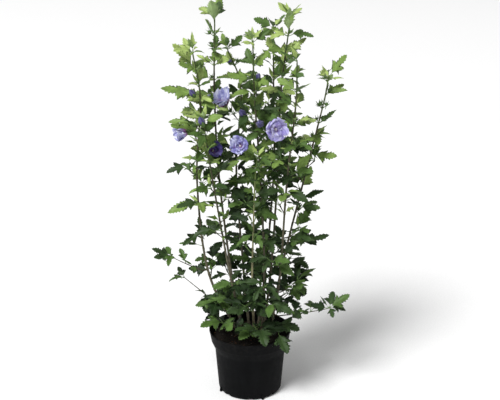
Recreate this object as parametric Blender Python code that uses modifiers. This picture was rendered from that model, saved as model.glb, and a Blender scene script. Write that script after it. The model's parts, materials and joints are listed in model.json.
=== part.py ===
"""Hibiscus shrub (rose of Sharon) growing in its black nursery pot.

Metres, +Z up. The origin is the centre of the pot's flat underside. -Y is the front.
Ten upright canes rise out of the potting soil. Each is one tapering limb up to about half its
height, where a crown mass (stem, spurs, leaves, buds and flowers fused into one solid) takes over.
Side sprays leave the canes below their crowns. Every spray and crown keeps clear of the others.
"""

import math
import random
from collections import namedtuple

import bmesh
import bpy
from mathutils import Matrix, Vector
from mathutils.bvhtree import BVHTree

GAP = 0.0003  # between solids that touch
CLEAR = 0.0012  # least room between one mass's foliage and any other solid
UP = Vector((0, 0, 1))

# --- Pot: a thin-walled nursery container with a deep rim band ---
RIM_RADIUS = 0.130
POT_HEIGHT = 0.205
BAND_DEPTH = 0.038
BAND_TAPER = 0.0065  # how much narrower the band is at its lower edge
NECK_DROP = 0.026  # height of the sloping step under the band
BODY_TOP_RADIUS = 0.1115
BODY_FOOT_RADIUS = 0.100
FOOT_ROUND = 0.011
WALL = 0.0024
POT_SIDES = 48
SLOTS = 8  # drain slots round the foot
SLOT_SIZE = (0.030, 0.016, 0.018)
LUGS = 4  # small knobs on the foot
LUG_TURN = math.radians(23)
LUG_RADIUS = 0.0040
LUG_HEIGHTS = (0.002, 0.015)

# --- Soil ---
SOIL_TOP = 0.178
SOIL_FLAT_RADIUS = 0.092
SOIL_EDGE_DROP = 0.006

# --- Canes: where each stands (x, y) at its foot and at three heights, and its tip (x, y, z) ---
KNEE, WAIST, SHOULDER = 0.40, 0.70, 0.95
Cane = namedtuple("Cane", "foot knee waist shoulder tip")
CANES = {
    "a": Cane((-0.040, 0.000), (-0.130, -0.004), (-0.160, -0.016), (-0.146, -0.025), (-0.166, -0.028, 1.096)),
    "b": Cane((-0.028, 0.035), (-0.062, 0.041), (-0.096, 0.049), (-0.107, 0.055), (-0.104, 0.060, 1.188)),
    "c": Cane((-0.018, -0.018), (-0.061, -0.036), (-0.108, -0.066), None, (-0.136, -0.092, 0.910)),
    "d": Cane((-0.004, 0.050), (-0.023, 0.078), (-0.043, 0.110), (-0.028, 0.132), (-0.070, 0.142, 1.076)),
    "e": Cane((0.012, -0.010), (0.007, -0.042), (0.014, -0.076), None, (0.022, -0.086, 0.796)),
    "f": Cane((0.036, 0.012), (0.045, 0.013), (0.032, 0.000), (0.014, -0.012), (0.008, -0.016, 1.125)),
    "g": Cane((0.062, -0.012), (0.093, -0.032), (0.109, -0.060), (0.132, -0.079), (0.134, -0.087, 1.084)),
    "h": Cane((0.066, 0.030), (0.099, 0.021), (0.166, 0.020), (0.223, 0.020), (0.232, 0.020, 1.035)),
    "i": Cane((0.028, 0.060), (0.053, 0.088), (0.075, 0.122), (0.073, 0.148), (0.071, 0.162, 1.140)),
    "j": Cane((0.046, 0.048), (0.068, 0.058), (0.086, 0.074), (0.094, 0.087), (0.121, 0.096, 1.180)),
}
CANE_RADIUS = 0.0043  # above the flare
FLARE = 1.55  # the foot's radius over CANE_RADIUS
FLARE_HEIGHT = 0.030
TIP_RADIUS = 0.0014
LIMB_SHARE = 0.45  # of a cane's height, before its crown mass takes over
PATH_STEP = 0.055

# --- Side sprays ---
SPRAYS_PER_CANE = 3
SHORT_CANES = "ce"  # these have one spray fewer
LOWEST_SPRAY = 0.275
SPRAY_LENGTHS = (0.075, 0.065, 0.055)  # from the lowest spray up
SPRAY_RISE = 0.55  # how far a spray's tip rises, over its length
SPRAY_RADII = (0.0021, 0.0012)  # at its foot and tip
CROWN_MIDDLE = Vector((0.02, 0.02, 0))  # sprays point away from the line above it
TURN = math.radians(137.5)  # from one leaf to the next round a stem

# Long low shoots and the sprays over the soil: cane, height they leave it, tip, leaves, leaf size
Shoot = namedtuple("Shoot", "cane height tip leaves size")
SHOOTS = {
    "low_left_shoot": Shoot("a", 0.410, (-0.244, -0.018, 0.456), 5, 0.80),
    "lower_left_shoot": Shoot("a", 0.300, (-0.205, -0.035, 0.395), 4, 0.75),
    "low_right_shoot": Shoot("g", 0.262, (0.252, -0.030, 0.288), 6, 0.75),
    "front_spray": Shoot("e", 0.232, (0.030, -0.085, 0.232), 5, 1.20),
    "middle_spray": Shoot("e", 0.285, (-0.014, -0.098, 0.325), 5, 1.10),
    "right_middle_spray": Shoot("g", 0.295, (0.066, -0.108, 0.330), 5, 1.10),
    "rim_spray": Shoot("g", 0.236, (0.088, -0.086, 0.234), 4, 1.20),
    "back_spray": Shoot("d", 0.245, (-0.035, 0.135, 0.262), 5, 1.10),
    "left_soil_spray": Shoot("c", 0.240, (-0.085, -0.062, 0.250), 5, 1.20),
    "right_back_spray": Shoot("j", 0.255, (0.125, 0.110, 0.275), 5, 1.10),
}

# Leaves that carry the crown's furthest tips: the mass they grow from, the tip, stalk and blade
REACHING_LEAVES = (
    ("crown_b", (-0.112, 0.010, 1.240), 0.080),
    ("crown_j", (0.118, 0.080, 1.210), 0.080),
    ("crown_a", (-0.225, -0.030, 1.120), 0.092),
    ("crown_h", (0.285, 0.015, 1.080), 0.092),
    ("crown_h", (0.262, -0.020, 0.780), 0.092),
    ("crown_h", (0.225, -0.020, 0.672), 0.092),
    ("crown_h", (0.216, -0.010, 0.612), 0.092),
    ("crown_a", (-0.262, -0.030, 0.990), 0.092),
    ("crown_a", (-0.252, -0.020, 0.600), 0.092),
    ("spray_h_3", (0.246, -0.005, 0.523), 0.092),
    ("low_left_shoot", (-0.304, -0.020, 0.484), 0.072),
    ("low_right_shoot", (0.312, -0.030, 0.334), 0.078),
    ("rim_spray", (0.114, -0.154, 0.190), 0.092),
)

# --- Openings in the crown: centre and half size, as they show from EYE on the plane y = 0 ---
EYE = Vector((0, -3.0, 1.645))
Opening = namedtuple("Opening", "x z half_width half_height")
OPENINGS = (
    Opening(-0.050, 1.200, 0.040, 0.070),
    Opening(0.035, 1.215, 0.035, 0.030),
    Opening(-0.130, 1.125, 0.025, 0.040),
    Opening(0.030, 1.110, 0.025, 0.025),
    Opening(0.160, 1.080, 0.030, 0.035),
    Opening(0.225, 1.080, 0.040, 0.035),
    Opening(0.040, 1.035, 0.015, 0.030),
    Opening(0.180, 1.030, 0.020, 0.025),
    Opening(-0.235, 1.000, 0.030, 0.020),
    Opening(-0.070, 0.995, 0.025, 0.015),
    Opening(0.205, 0.945, 0.055, 0.055),
    Opening(-0.225, 0.925, 0.015, 0.040),
    Opening(0.190, 0.860, 0.020, 0.015),
    Opening(0.225, 0.770, 0.025, 0.035),
    Opening(-0.080, 0.710, 0.015, 0.030),
    Opening(-0.190, 0.700, 0.025, 0.035),
    Opening(0.185, 0.675, 0.020, 0.035),
    Opening(0.120, 0.560, 0.020, 0.025),
    Opening(-0.200, 0.550, 0.035, 0.040),
    Opening(0.195, 0.565, 0.040, 0.022),
    Opening(-0.120, 0.515, 0.020, 0.020),
    Opening(-0.135, 0.500, 0.030, 0.020),
    Opening(0.200, 0.455, 0.040, 0.045),
    Opening(-0.190, 0.370, 0.040, 0.020),
    Opening(0.210, 0.365, 0.045, 0.035),
    Opening(0.165, 0.235, 0.025, 0.020),
)

# --- Leaves: the lower they grow, the more they droop ---
CROWN_TOP = 1.243
LEAF_LENGTH = (0.062, 0.082)  # the blade, smallest and largest, at the crown's top
LOW_SIZE = 0.80  # of the lowest leaves, over the size of the highest
PETIOLE = (0.014, 0.026)
LEAF_RISE = (15, 50)  # degrees that the stalk rises
LEAF_DROOP = (-48, 8)  # degrees that the blade of the lowest leaves points down
TOP_LIFT = 38  # degrees that the blades rise from there to the crown's top
LEAF_ROLL = 34
FAN = math.radians(75)  # between the leaves of a rosette
LEAF_HALF_WIDTH = 0.34  # over the blade's length, at the side lobes
LOBE_AT = 0.40
LEAF_THICKNESS = 0.0018  # at the midrib
PETIOLE_HALF = 0.0010
SPUR_LENGTH = 0.034
SPUR_RISE = math.radians(42)
SPUR_LEAVES = 3
SPUR_ROOT = 0.0022  # how deep a rosette's leaf stalks start inside the knob
SPUR_RADIUS = 0.0012
SPUR_END_RADIUS = 0.0026  # a spur ends in a knob, which its leaf stalks grow from
LIGHT_TURN = 35  # degrees that leaves at the sides turn their upper faces to the front, to the light
LIGHT_LIFT = 30  # degrees that blades at the back are lifted to it
REACH = 0.125  # how far a mass's leaves get from its own stem
SHARED_SPACE = 0.035  # how much nearer to a neighbour's stem than to its own a leaf may lie
NEAREST_STEM = 0.030  # where a leaf may always lie, this far from any other stem
CROWN_FIRST_NODE = 0.022
CROWN_STEP = 0.053  # between leaf nodes on a crown's stem
SPUR_SHARE = 0.55  # of a crown's length that has spurs
TUFT_LEAVES = 3  # at each tip
TUFT_SIZE = 0.72  # over the size of the other leaves
LEAVES_PER_SPRAY = 5
PETALS = 12

# --- Flowers and buds: mass, kind, centre, the way it faces (x, y, z), width ---
Bloom = namedtuple("Bloom", "mass kind centre faces width")
BLOOMS = (
    Bloom("crown_g", "flower", (0.074, -0.128, 0.892), (-0.05, -1.0, 0.35), 0.076),
    Bloom("crown_e", "flower", (-0.029, -0.108, 0.838), (-0.25, -1.0, 0.45), 0.062),
    Bloom("crown_a", "flower", (-0.200, -0.052, 0.858), (-0.95, -0.5, -0.35), 0.050),
    Bloom("crown_c", "flower", (-0.108, -0.040, 0.806), (0.30, -0.7, 0.65), 0.056),
    Bloom("crown_b", "flower", (-0.082, 0.000, 0.948), (-0.35, -0.30, 0.9), 0.072),
    Bloom("crown_i", "flower", (0.083, 0.210, 0.803), (0.2, 1.0, 0.35), 0.068),
    Bloom("crown_a", "bud", (-0.166, -0.060, 0.980), (-0.5, -0.3, 0.8), 0.018),
    Bloom("crown_c", "bud", (-0.139, -0.100, 0.905), (-0.4, -0.2, 1.0), 0.020),
    Bloom("crown_f", "bud", (-0.021, 0.000, 0.905), (-0.4, -0.5, 0.8), 0.022),
    Bloom("crown_d", "bud", (-0.061, 0.120, 1.038), (-0.2, -0.3, 0.9), 0.013),
    Bloom("crown_f", "bud", (0.030, -0.050, 0.888), (-0.2, -0.9, 0.3), 0.024),
    Bloom("crown_f", "bud", (0.022, -0.030, 1.022), (0.4, -0.3, 0.9), 0.016),
    Bloom("crown_h", "bud", (0.226, 0.000, 0.930), (0.1, -0.6, 0.9), 0.014),
)
PEDUNCLE_RADIUS = 0.0011


def clear_scene():
    for ob in list(bpy.data.objects):
        bpy.data.objects.remove(ob, do_unlink=True)


def new_material(name, colour, roughness):
    material = bpy.data.materials.new(name)
    material.use_nodes = True
    shader = material.node_tree.nodes["Principled BSDF"]
    shader.inputs["Base Color"].default_value = (*colour, 1)
    shader.inputs["Roughness"].default_value = roughness
    shader.inputs["Metallic"].default_value = 0
    return material


def new_collection(name):
    collection = bpy.data.collections.new(name)
    bpy.context.scene.collection.children.link(collection)
    return collection


def add_object(name, mesh, collection, material):
    ob = bpy.data.objects.new(name, mesh)
    if not mesh.materials:
        mesh.materials.append(material)
    collection.objects.link(ob)
    return ob


def evaluated_mesh(ob):
    graph = bpy.context.evaluated_depsgraph_get()
    return bpy.data.meshes.new_from_object(ob.evaluated_get(graph))


def mesh_from(bm, name):
    bmesh.ops.recalc_face_normals(bm, faces=bm.faces)
    mesh = bpy.data.meshes.new(name)
    bm.to_mesh(mesh)
    bm.free()
    return mesh


def without_scraps(mesh):
    """The mesh's largest body, without the loose slivers that a union can leave."""
    bm = bmesh.new()
    bm.from_mesh(mesh)
    bodies = []
    unseen = set(bm.faces)
    while unseen:
        body = [unseen.pop()]
        for face in body:
            near = {f for e in face.edges for f in e.link_faces} & unseen
            unseen -= near
            body.extend(near)
        bodies.append(body)
    bodies.sort(key=len)
    for body in bodies[:-1]:
        bmesh.ops.delete(bm, geom=body, context="FACES")
    bm.to_mesh(mesh)
    bm.free()
    return mesh


def is_closed(mesh):
    bm = bmesh.new()
    bm.from_mesh(mesh)
    closed = all(edge.is_manifold for edge in bm.edges)
    bm.free()
    return closed


# --- Paths -------------------------------------------------------------------------------------


def smooth_path(points, step):
    """A Catmull-Rom curve through the points, cut into pieces about a step long."""
    ends = [2 * points[0] - points[1], *points, 2 * points[-1] - points[-2]]
    path = [points[0].copy()]
    for before, start, end, after in zip(ends, ends[1:], ends[2:], ends[3:]):
        pieces = max(1, round((end - start).length / step))
        for k in range(1, pieces + 1):
            t = k / pieces
            path.append(
                0.5 * (
                    2 * start
                    + (end - before) * t
                    + (2 * before - 5 * start + 4 * end - after) * t**2
                    + (3 * start - before - 3 * end + after) * t**3
                )
            )
    return path


def cane_path(cane):
    points = [Vector((*cane.foot, SOIL_TOP + GAP)), Vector((*cane.foot, SOIL_TOP + GAP + FLARE_HEIGHT / 2))]
    for place, height in ((cane.knee, KNEE), (cane.waist, WAIST), (cane.shoulder, SHOULDER)):
        if place:
            points.append(Vector((*place, height)))
    points.append(Vector(cane.tip))
    return points[:1] + smooth_path(points[1:], PATH_STEP)


def cane_radius(height, tip_height):
    """The taper of a cane, with a flare where it leaves the soil."""
    rise = height - SOIL_TOP
    share = rise / (tip_height - SOIL_TOP)
    taper = CANE_RADIUS + (TIP_RADIUS - CANE_RADIUS) * share**0.9
    flare = max(0.0, 1 - rise / FLARE_HEIGHT)
    return taper * (1 + (FLARE - 1) * flare**1.5)


def along(path, distance):
    """The point and direction this far along a path."""
    for start, end in zip(path, path[1:]):
        length = (end - start).length
        if distance <= length:
            return start.lerp(end, distance / length), (end - start).normalized()
        distance -= length
    return path[-1].copy(), (path[-1] - path[-2]).normalized()


def path_length(path):
    return sum((b - a).length for a, b in zip(path, path[1:]))


def heading(azimuth, rise):
    return Vector((math.cos(azimuth) * math.cos(rise), math.sin(azimuth) * math.cos(rise), math.sin(rise)))


def azimuth_of(direction):
    return math.atan2(direction.y, direction.x)


def distance_to_path(point, path):
    best = 1.0
    for start, end in zip(path, path[1:]):
        edge = end - start
        t = max(0.0, min(1.0, (point - start).dot(edge) / edge.length_squared))
        best = min(best, (point - start - edge * t).length)
    return best


# --- Simple shapes -----------------------------------------------------------------------------


def tube_mesh(name, path, radii, resolution):
    """A tapering tube with flat ends: a curve with a bevel, made a mesh and welded."""
    curve = bpy.data.curves.new(name, "CURVE")
    curve.dimensions = "3D"
    curve.bevel_depth = 1.0
    curve.bevel_resolution = resolution
    curve.use_fill_caps = True
    spline = curve.splines.new("POLY")
    spline.points.add(len(path) - 1)
    for point, place, radius in zip(spline.points, path, radii):
        point.co = (*place, 1)
        point.radius = radius
    ob = bpy.data.objects.new(name, curve)
    bpy.context.scene.collection.objects.link(ob)
    mesh = evaluated_mesh(ob)
    bpy.data.objects.remove(ob)
    bpy.data.curves.remove(curve)
    bm = bmesh.new()
    bm.from_mesh(mesh)
    bmesh.ops.remove_doubles(bm, verts=bm.verts, dist=1e-5)
    bmesh.ops.recalc_face_normals(bm, faces=bm.faces)
    bm.to_mesh(mesh)
    bm.free()
    return mesh


def turned_mesh(name, profile):
    """Turns a profile of (radius, height) round Z, with a Screw modifier."""
    bm = bmesh.new()
    verts = [bm.verts.new((radius, 0, height)) for radius, height in profile]
    for a, b in zip(verts, verts[1:]):
        bm.edges.new((a, b))
    mesh = bpy.data.meshes.new(name)
    bm.to_mesh(mesh)
    bm.free()
    ob = bpy.data.objects.new(name, mesh)
    bpy.context.scene.collection.objects.link(ob)
    screw = ob.modifiers.new("turn", "SCREW")
    screw.axis = "Z"
    screw.steps = screw.render_steps = POT_SIDES
    screw.use_merge_vertices = True
    screw.merge_threshold = 1e-5
    turned = evaluated_mesh(ob)
    bpy.data.objects.remove(ob)
    bm = bmesh.new()
    bm.from_mesh(turned)
    bmesh.ops.remove_doubles(bm, verts=bm.verts, dist=1e-6)
    bmesh.ops.recalc_face_normals(bm, faces=bm.faces)
    bm.to_mesh(turned)
    bm.free()
    return turned


def cone_between(start, end, start_radius, end_radius, sides):
    """A closed cone or prism from one point to another."""
    axis = end - start
    bm = bmesh.new()
    turn = UP.rotation_difference(axis.normalized()).to_matrix().to_4x4()
    bmesh.ops.create_cone(
        bm,
        cap_ends=True,
        segments=sides,
        radius1=start_radius,
        radius2=end_radius,
        depth=axis.length,
        matrix=Matrix.Translation((start + end) / 2) @ turn,
    )
    return bm


def facing(direction, centre, scale=(1, 1, 1)):
    """A placement whose +Z looks along the direction."""
    turn = UP.rotation_difference(direction.normalized()).to_matrix().to_4x4()
    return Matrix.Translation(centre) @ turn @ Matrix.Diagonal((*scale, 1))


# --- Leaves ------------------------------------------------------------------------------------

Leaf = namedtuple("Leaf", "root azimuth rise droop roll petiole blade")


def leaf_line(leaf):
    """The leaf's midrib (root, blade base, lobes, apex) and the vector across it."""
    stalk = heading(leaf.azimuth, leaf.rise)
    near = heading(leaf.azimuth, (leaf.rise + leaf.droop) / 2)
    far = heading(leaf.azimuth, leaf.droop)
    base = leaf.root + stalk * leaf.petiole
    lobe = base + near * leaf.blade * LOBE_AT
    apex = lobe + far * leaf.blade * (1 - LOBE_AT)
    level = Vector((-math.sin(leaf.azimuth), math.cos(leaf.azimuth), 0))
    return (leaf.root, base, lobe, apex), Matrix.Rotation(leaf.roll, 3, near) @ level


def is_shown(opening, point):
    """True if the point shows in an opening."""
    shown = EYE + (point - EYE) * (EYE.y / (EYE.y - point.y))
    across = (shown.x - opening.x) / opening.half_width
    up = (shown.z - opening.z) / opening.half_height
    return across**2 + up**2 < 1


def closes_opening(leaf):
    """True if the leaf's blade would close one of the crown's openings."""
    _, _, lobes, apex = leaf_line(leaf)[0]
    points = (lobes, lobes.lerp(apex, 0.5), apex)
    return any(is_shown(opening, point) for opening in OPENINGS for point in points)


def leaf_mesh(leaf, pad=0.0, blade_only=False):
    """A leaf on its stalk: a loft of thin three-cornered sections, from a point in the twig to the
    apex. pad makes it that much bigger all round, to test the room it needs."""
    places, side = leaf_line(leaf)
    halves = (PETIOLE_HALF, LEAF_HALF_WIDTH * leaf.blade)
    bm = bmesh.new()
    rings = []
    for k in (1, 2):
        ahead = (places[k + 1] - places[k - 1]).normalized()
        across = (side - ahead * side.dot(ahead)).normalized()
        over = ahead.cross(across)
        over *= math.copysign(1, over.z)
        half = halves[k - 1] + pad
        rings.append(
            [
                bm.verts.new(places[k] + over * pad - across * half),
                bm.verts.new(places[k] + over * pad + across * half),
                bm.verts.new(places[k] - over * (LEAF_THICKNESS + pad)),
            ]
        )
    apex = bm.verts.new(places[3] + (places[3] - places[2]).normalized() * pad)
    for k in range(3):
        bm.faces.new((rings[0][k], rings[0][k - 1], rings[1][k - 1], rings[1][k]))
        bm.faces.new((rings[1][k], rings[1][k - 1], apex))
    if blade_only:
        bm.faces.new(rings[0])
    else:
        root = bm.verts.new(leaf.root)
        for k in range(3):
            bm.faces.new((rings[0][k - 1], rings[0][k], root))
    bmesh.ops.recalc_face_normals(bm, faces=bm.faces)
    bmesh.ops.triangulate(bm, faces=bm.faces)
    return bm


# --- The room each mass has --------------------------------------------------------------------


class Room:
    """What stands where, so that a new twig or leaf can be tested against it."""

    def __init__(self):
        self.solids = []  # (owner, kind, tree, low corner, high corner)
        self.axes = {}  # owner -> path

    def add(self, owner, kind, bm):
        low, high = corners(bm)
        self.solids.append((owner, kind, BVHTree.FromBMesh(bm), low, high))

    def add_mesh(self, owner, kind, mesh):
        bm = bmesh.new()
        bm.from_mesh(mesh)
        self.add(owner, kind, bm)
        bm.free()

    def is_free(self, owner, bm, own=False):
        """True if bm touches no other owner's solid, or with own, none of the owner's blades."""
        low, high = corners(bm)
        tree = None
        for other, kind, solid, other_low, other_high in self.solids:
            if (other == owner) != own or (own and kind != "blade"):
                continue
            if any(low[k] > other_high[k] or high[k] < other_low[k] for k in range(3)):
                continue
            tree = tree or BVHTree.FromBMesh(bm)
            if tree.overlap(solid):
                return False
        return True

    def in_own_space(self, owner, point):
        own = distance_to_path(point, self.axes[owner])
        others = (distance_to_path(point, path) for name, path in self.axes.items() if name != owner)
        return own < REACH and min(others) > min(own - SHARED_SPACE, NEAREST_STEM)


def corners(bm):
    low = [min(v.co[k] for v in bm.verts) for k in range(3)]
    high = [max(v.co[k] for v in bm.verts) for k in range(3)]
    return low, high


# --- One mass of foliage -----------------------------------------------------------------------


class Mass:
    """A stem with the spurs, leaves, buds and flowers that grow on it."""

    def __init__(self, name, path, radii, room, index):
        self.name = name
        self.path = path
        self.radii = radii
        self.room = room
        self.draw = random.Random(1000 + index)
        self.bits = []  # closed meshes to be joined to the stem
        self.turn = self.draw.uniform(0, math.tau)

    def grow_bit(self, bm, kind="twig"):
        """Adds a closed shape, to be joined to the stem."""
        self.room.add(self.name, kind, bm)
        self.bits.append((kind, mesh_from(bm, self.name)))

    def try_leaf(self, leaf):
        """Grows the leaf if it keeps to the mass's space, touches nothing and crosses no sister."""
        places, _ = leaf_line(leaf)
        if not self.room.in_own_space(self.name, places[2]) or places[3].z < SOIL_TOP + 0.010:
            return False
        whole = leaf_mesh(leaf, CLEAR)
        blade = leaf_mesh(leaf, CLEAR / 2, blade_only=True)
        fits = self.room.is_free(self.name, whole) and self.room.is_free(self.name, blade, own=True)
        whole.free()
        blade.free()
        if not fits:
            return False
        blade = leaf_mesh(leaf, blade_only=True)
        self.room.add(self.name, "blade", blade)
        blade.free()
        stalk_and_blade = leaf_mesh(leaf)
        self.grow_bit(stalk_and_blade, "leaf")
        return True

    def leaf_near(self, root, azimuth, size):
        """Tries the wanted direction first, then turns further and further away from it."""
        draw = self.draw
        height = (root.z - POT_HEIGHT) / (CROWN_TOP - POT_HEIGHT)
        size *= LOW_SIZE + (1 - LOW_SIZE) * height
        blade = (LEAF_LENGTH[0] + (LEAF_LENGTH[1] - LEAF_LENGTH[0]) * draw.random()) * size
        petiole = (PETIOLE[0] + (PETIOLE[1] - PETIOLE[0]) * draw.random()) * size
        rise = math.radians(draw.uniform(*LEAF_RISE))
        lift = TOP_LIFT * height**2 + LIGHT_LIFT * max(0, math.sin(azimuth))
        droop = math.radians(draw.uniform(*LEAF_DROOP) + lift)
        roll = math.radians(draw.uniform(-LEAF_ROLL, LEAF_ROLL) + LIGHT_TURN * math.cos(azimuth))
        for turn in (0, 22, -22, 44, -44, 66, -66, 90, -90):
            for drop in (0, 20, -18, 40):
                leaf = Leaf(
                    root, azimuth + math.radians(turn), rise, droop + math.radians(drop), roll, petiole, blade
                )
                if not closes_opening(leaf) and self.try_leaf(leaf):
                    return True
        return False

    def spur(self, distance, azimuth, size):
        """A short side twig with a knob at its end and a rosette of leaves on it."""
        foot, _ = along(self.path, distance)
        for turn in (0, 40, -40, 80, -80, 120):
            bearing = azimuth + math.radians(turn)
            end = foot + heading(bearing, SPUR_RISE) * SPUR_LENGTH * size
            test = cone_between(foot, end, SPUR_RADIUS + CLEAR, SPUR_END_RADIUS + CLEAR, 6)
            free = self.room.is_free(self.name, test) and self.room.is_free(self.name, test, own=True)
            test.free()
            if not free:
                continue
            self.grow_bit(cone_between(foot, end, SPUR_RADIUS, SPUR_END_RADIUS, 3))
            root = end - (end - foot).normalized() * SPUR_ROOT
            for k in range(SPUR_LEAVES):
                self.leaf_near(root, bearing + FAN * (k - (SPUR_LEAVES - 1) / 2), size)
            return

    def reaching_leaf(self, tip, leaf_length):
        """A leaf that runs from a part of the stem in reach to the given tip."""
        tip = Vector(tip)
        length = path_length(self.path)
        spots = [along(self.path, length * k / 20)[0] for k in range(2, 20)]
        root = min(spots, key=lambda p: abs((tip - p).length - leaf_length) + max(0, p.z - tip.z))
        reach = tip - root
        blade = min(LEAF_LENGTH[1] * 1.05, reach.length * 0.78)
        angle = math.asin(reach.z / reach.length)
        petiole = reach.length - blade
        roll = math.radians(LIGHT_TURN) * math.cos(azimuth_of(reach))
        self.try_leaf(Leaf(root, azimuth_of(reach), angle, angle, roll, petiole, blade))

    def bloom(self, bloom):
        """A flower or a bud at its place, on a stalk from the nearest part of the stem below it."""
        centre, faces = Vector(bloom.centre), Vector(bloom.faces).normalized()
        back = centre - faces * bloom.width * 0.28
        length = path_length(self.path)
        spots = [along(self.path, length * k / 24)[0] for k in range(25)]
        root = min(spots, key=lambda p: (p - back).length + 0.6 * max(0, p.z - back.z + 0.015))
        parts = flower_parts if bloom.kind == "flower" else bud_parts
        for bm in parts(centre, faces, bloom.width):
            self.room.add(self.name, "blade", bm)
            self.bits.append((bloom.kind, mesh_from(bm, self.name)))
        bend = root.lerp(back, 0.5) + UP * 0.004
        stalk = cone_between(root, bend, PEDUNCLE_RADIUS * 1.1, PEDUNCLE_RADIUS * 1.1, 3)
        self.grow_bit(stalk)
        into = bend + (back - bend) * 1.06 + faces * 0.002
        start = bend - (back - bend).normalized() * 0.001
        self.grow_bit(cone_between(start, into, PEDUNCLE_RADIUS, PEDUNCLE_RADIUS * 1.5, 3))

    def joined(self, collection, materials):
        """One Boolean union joins everything to the stem."""
        stem = tube_mesh(self.name, self.path, self.radii, 0)
        ob = add_object(self.name, stem, collection, materials["bark"])
        bits = new_collection(self.name + " bits")
        for kind, mesh in self.bits:
            look = {"twig": "bark", "leaf": "foliage"}.get(kind, "petals")
            add_object("bit", mesh, bits, materials[look])
        union = ob.modifiers.new("join", "BOOLEAN")
        union.operation = "UNION"
        union.operand_type = "COLLECTION"
        union.collection = bits
        union.material_mode = "TRANSFER"
        for solver in ("EXACT", "MANIFOLD"):
            union.solver = solver
            mesh = without_scraps(evaluated_mesh(ob))
            if is_closed(mesh):
                break
        ob.modifiers.clear()
        ob.data = mesh
        for bit in list(bits.objects):
            bpy.data.objects.remove(bit)
        bpy.data.collections.remove(bits)


def flower_parts(centre, faces, width):
    """An open semi-double flower: a shallow cup with a petalled edge, and a ruffle in it."""
    radius = width / 2
    depth = width * 0.34
    place = facing(faces, centre)
    cup = bmesh.new()
    made = bmesh.ops.create_cone(
        cup,
        cap_ends=True,
        segments=PETALS,
        radius1=radius * 0.16,
        radius2=radius,
        depth=depth,
        matrix=Matrix.Translation((0, 0, -depth / 4)),
    )
    rim = [v for v in made["verts"] if v.co.z > 0]
    rim.sort(key=lambda v: math.atan2(v.co.y, v.co.x))
    front = next(f for f in cup.faces if all(v in rim for v in f.verts))
    middle = bmesh.ops.poke(cup, faces=[front])["verts"][0]
    middle.co.z = -depth * 0.10
    for v in rim[::2]:
        v.co = Vector((v.co.x * 0.84, v.co.y * 0.84, v.co.z + depth * 0.10))
    ruffle = bmesh.new()
    made = bmesh.ops.create_cone(
        ruffle,
        cap_ends=True,
        segments=PETALS - 4,
        radius1=radius * 0.22,
        radius2=radius * 0.52,
        depth=depth * 0.60,
        matrix=Matrix.Translation((0, 0, depth * 0.12)) @ Matrix.Rotation(0.2, 4, "Z"),
    )
    rim = [v for v in made["verts"] if v.co.z > depth * 0.12]
    rim.sort(key=lambda v: math.atan2(v.co.y, v.co.x))
    for v in rim[::2]:
        v.co = Vector((v.co.x * 0.66, v.co.y * 0.66, v.co.z))
    for bm in (cup, ruffle):
        bmesh.ops.transform(bm, matrix=place, verts=bm.verts)
    return [cup, ruffle]


def bud_parts(centre, faces, width):
    """A plump bud, longer than it is wide."""
    bm = bmesh.new()
    place = facing(faces, centre, (1, 1, 1.6))
    bmesh.ops.create_icosphere(bm, subdivisions=1, radius=width / 2, matrix=place)
    return [bm]


# --- Pot and soil ------------------------------------------------------------------------------


def pot_outline():
    """The pot's outer side from its rim down to the rounded foot, as (radius, height)."""
    band_foot = POT_HEIGHT - BAND_DEPTH
    outline = [
        (RIM_RADIUS, POT_HEIGHT),
        (RIM_RADIUS - BAND_TAPER, band_foot),
        (BODY_TOP_RADIUS, band_foot - NECK_DROP),
        (BODY_FOOT_RADIUS, FOOT_ROUND),
    ]
    for k in range(1, 3):
        angle = math.pi / 2 * k / 2
        outline.append(
            (BODY_FOOT_RADIUS - FOOT_ROUND * (1 - math.cos(angle)), FOOT_ROUND * (1 - math.sin(angle)))
        )
    return outline


def inner_outline(inset):
    """The outline moved inwards, from the rim down to the floor's edge."""
    inner = [(radius - inset, height) for radius, height in pot_outline()[:3]]
    inner.append((BODY_FOOT_RADIUS - inset, FOOT_ROUND))
    inner.append((BODY_FOOT_RADIUS - FOOT_ROUND * 0.7 - inset, inset))
    return inner


def build_pot(collection, cutters, materials):
    profile = [(0, WALL), *reversed(inner_outline(WALL)), *pot_outline(), (0, 0)]
    pot = add_object("pot", turned_mesh("pot", profile), collection, materials["pot"])
    lugs = new_collection("pot lugs")
    for k in range(LUGS):
        out = heading(LUG_TURN + math.tau * k / LUGS, 0) * (BODY_FOOT_RADIUS + LUG_RADIUS * 0.45)
        low, high = (out + UP * height for height in LUG_HEIGHTS)
        lug = cone_between(low, high, LUG_RADIUS, LUG_RADIUS * 0.6, 6)
        add_object("lug", mesh_from(lug, "lug"), lugs, materials["pot"])
    for k in range(SLOTS):
        bm = bmesh.new()
        bmesh.ops.create_cube(bm, size=1, matrix=Matrix.Diagonal((*SLOT_SIZE, 1)))
        slot = add_object("drain slot", mesh_from(bm, "drain slot"), cutters, materials["pot"])
        slot.location = heading(math.tau * k / SLOTS, 0) * (BODY_FOOT_RADIUS - 0.001)
        slot.rotation_euler.z = math.tau * k / SLOTS
        slot.hide_render = True
        slot.display_type = "WIRE"
    for name, operation, operands in (("lugs", "UNION", lugs), ("drain slots", "DIFFERENCE", cutters)):
        boolean = pot.modifiers.new(name, "BOOLEAN")
        boolean.operation = operation
        boolean.operand_type = "COLLECTION"
        boolean.collection = operands
    pot.data = evaluated_mesh(pot)
    pot.modifiers.clear()
    for lug in list(lugs.objects):
        bpy.data.objects.remove(lug)
    bpy.data.collections.remove(lugs)
    shade(pot)


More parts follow.
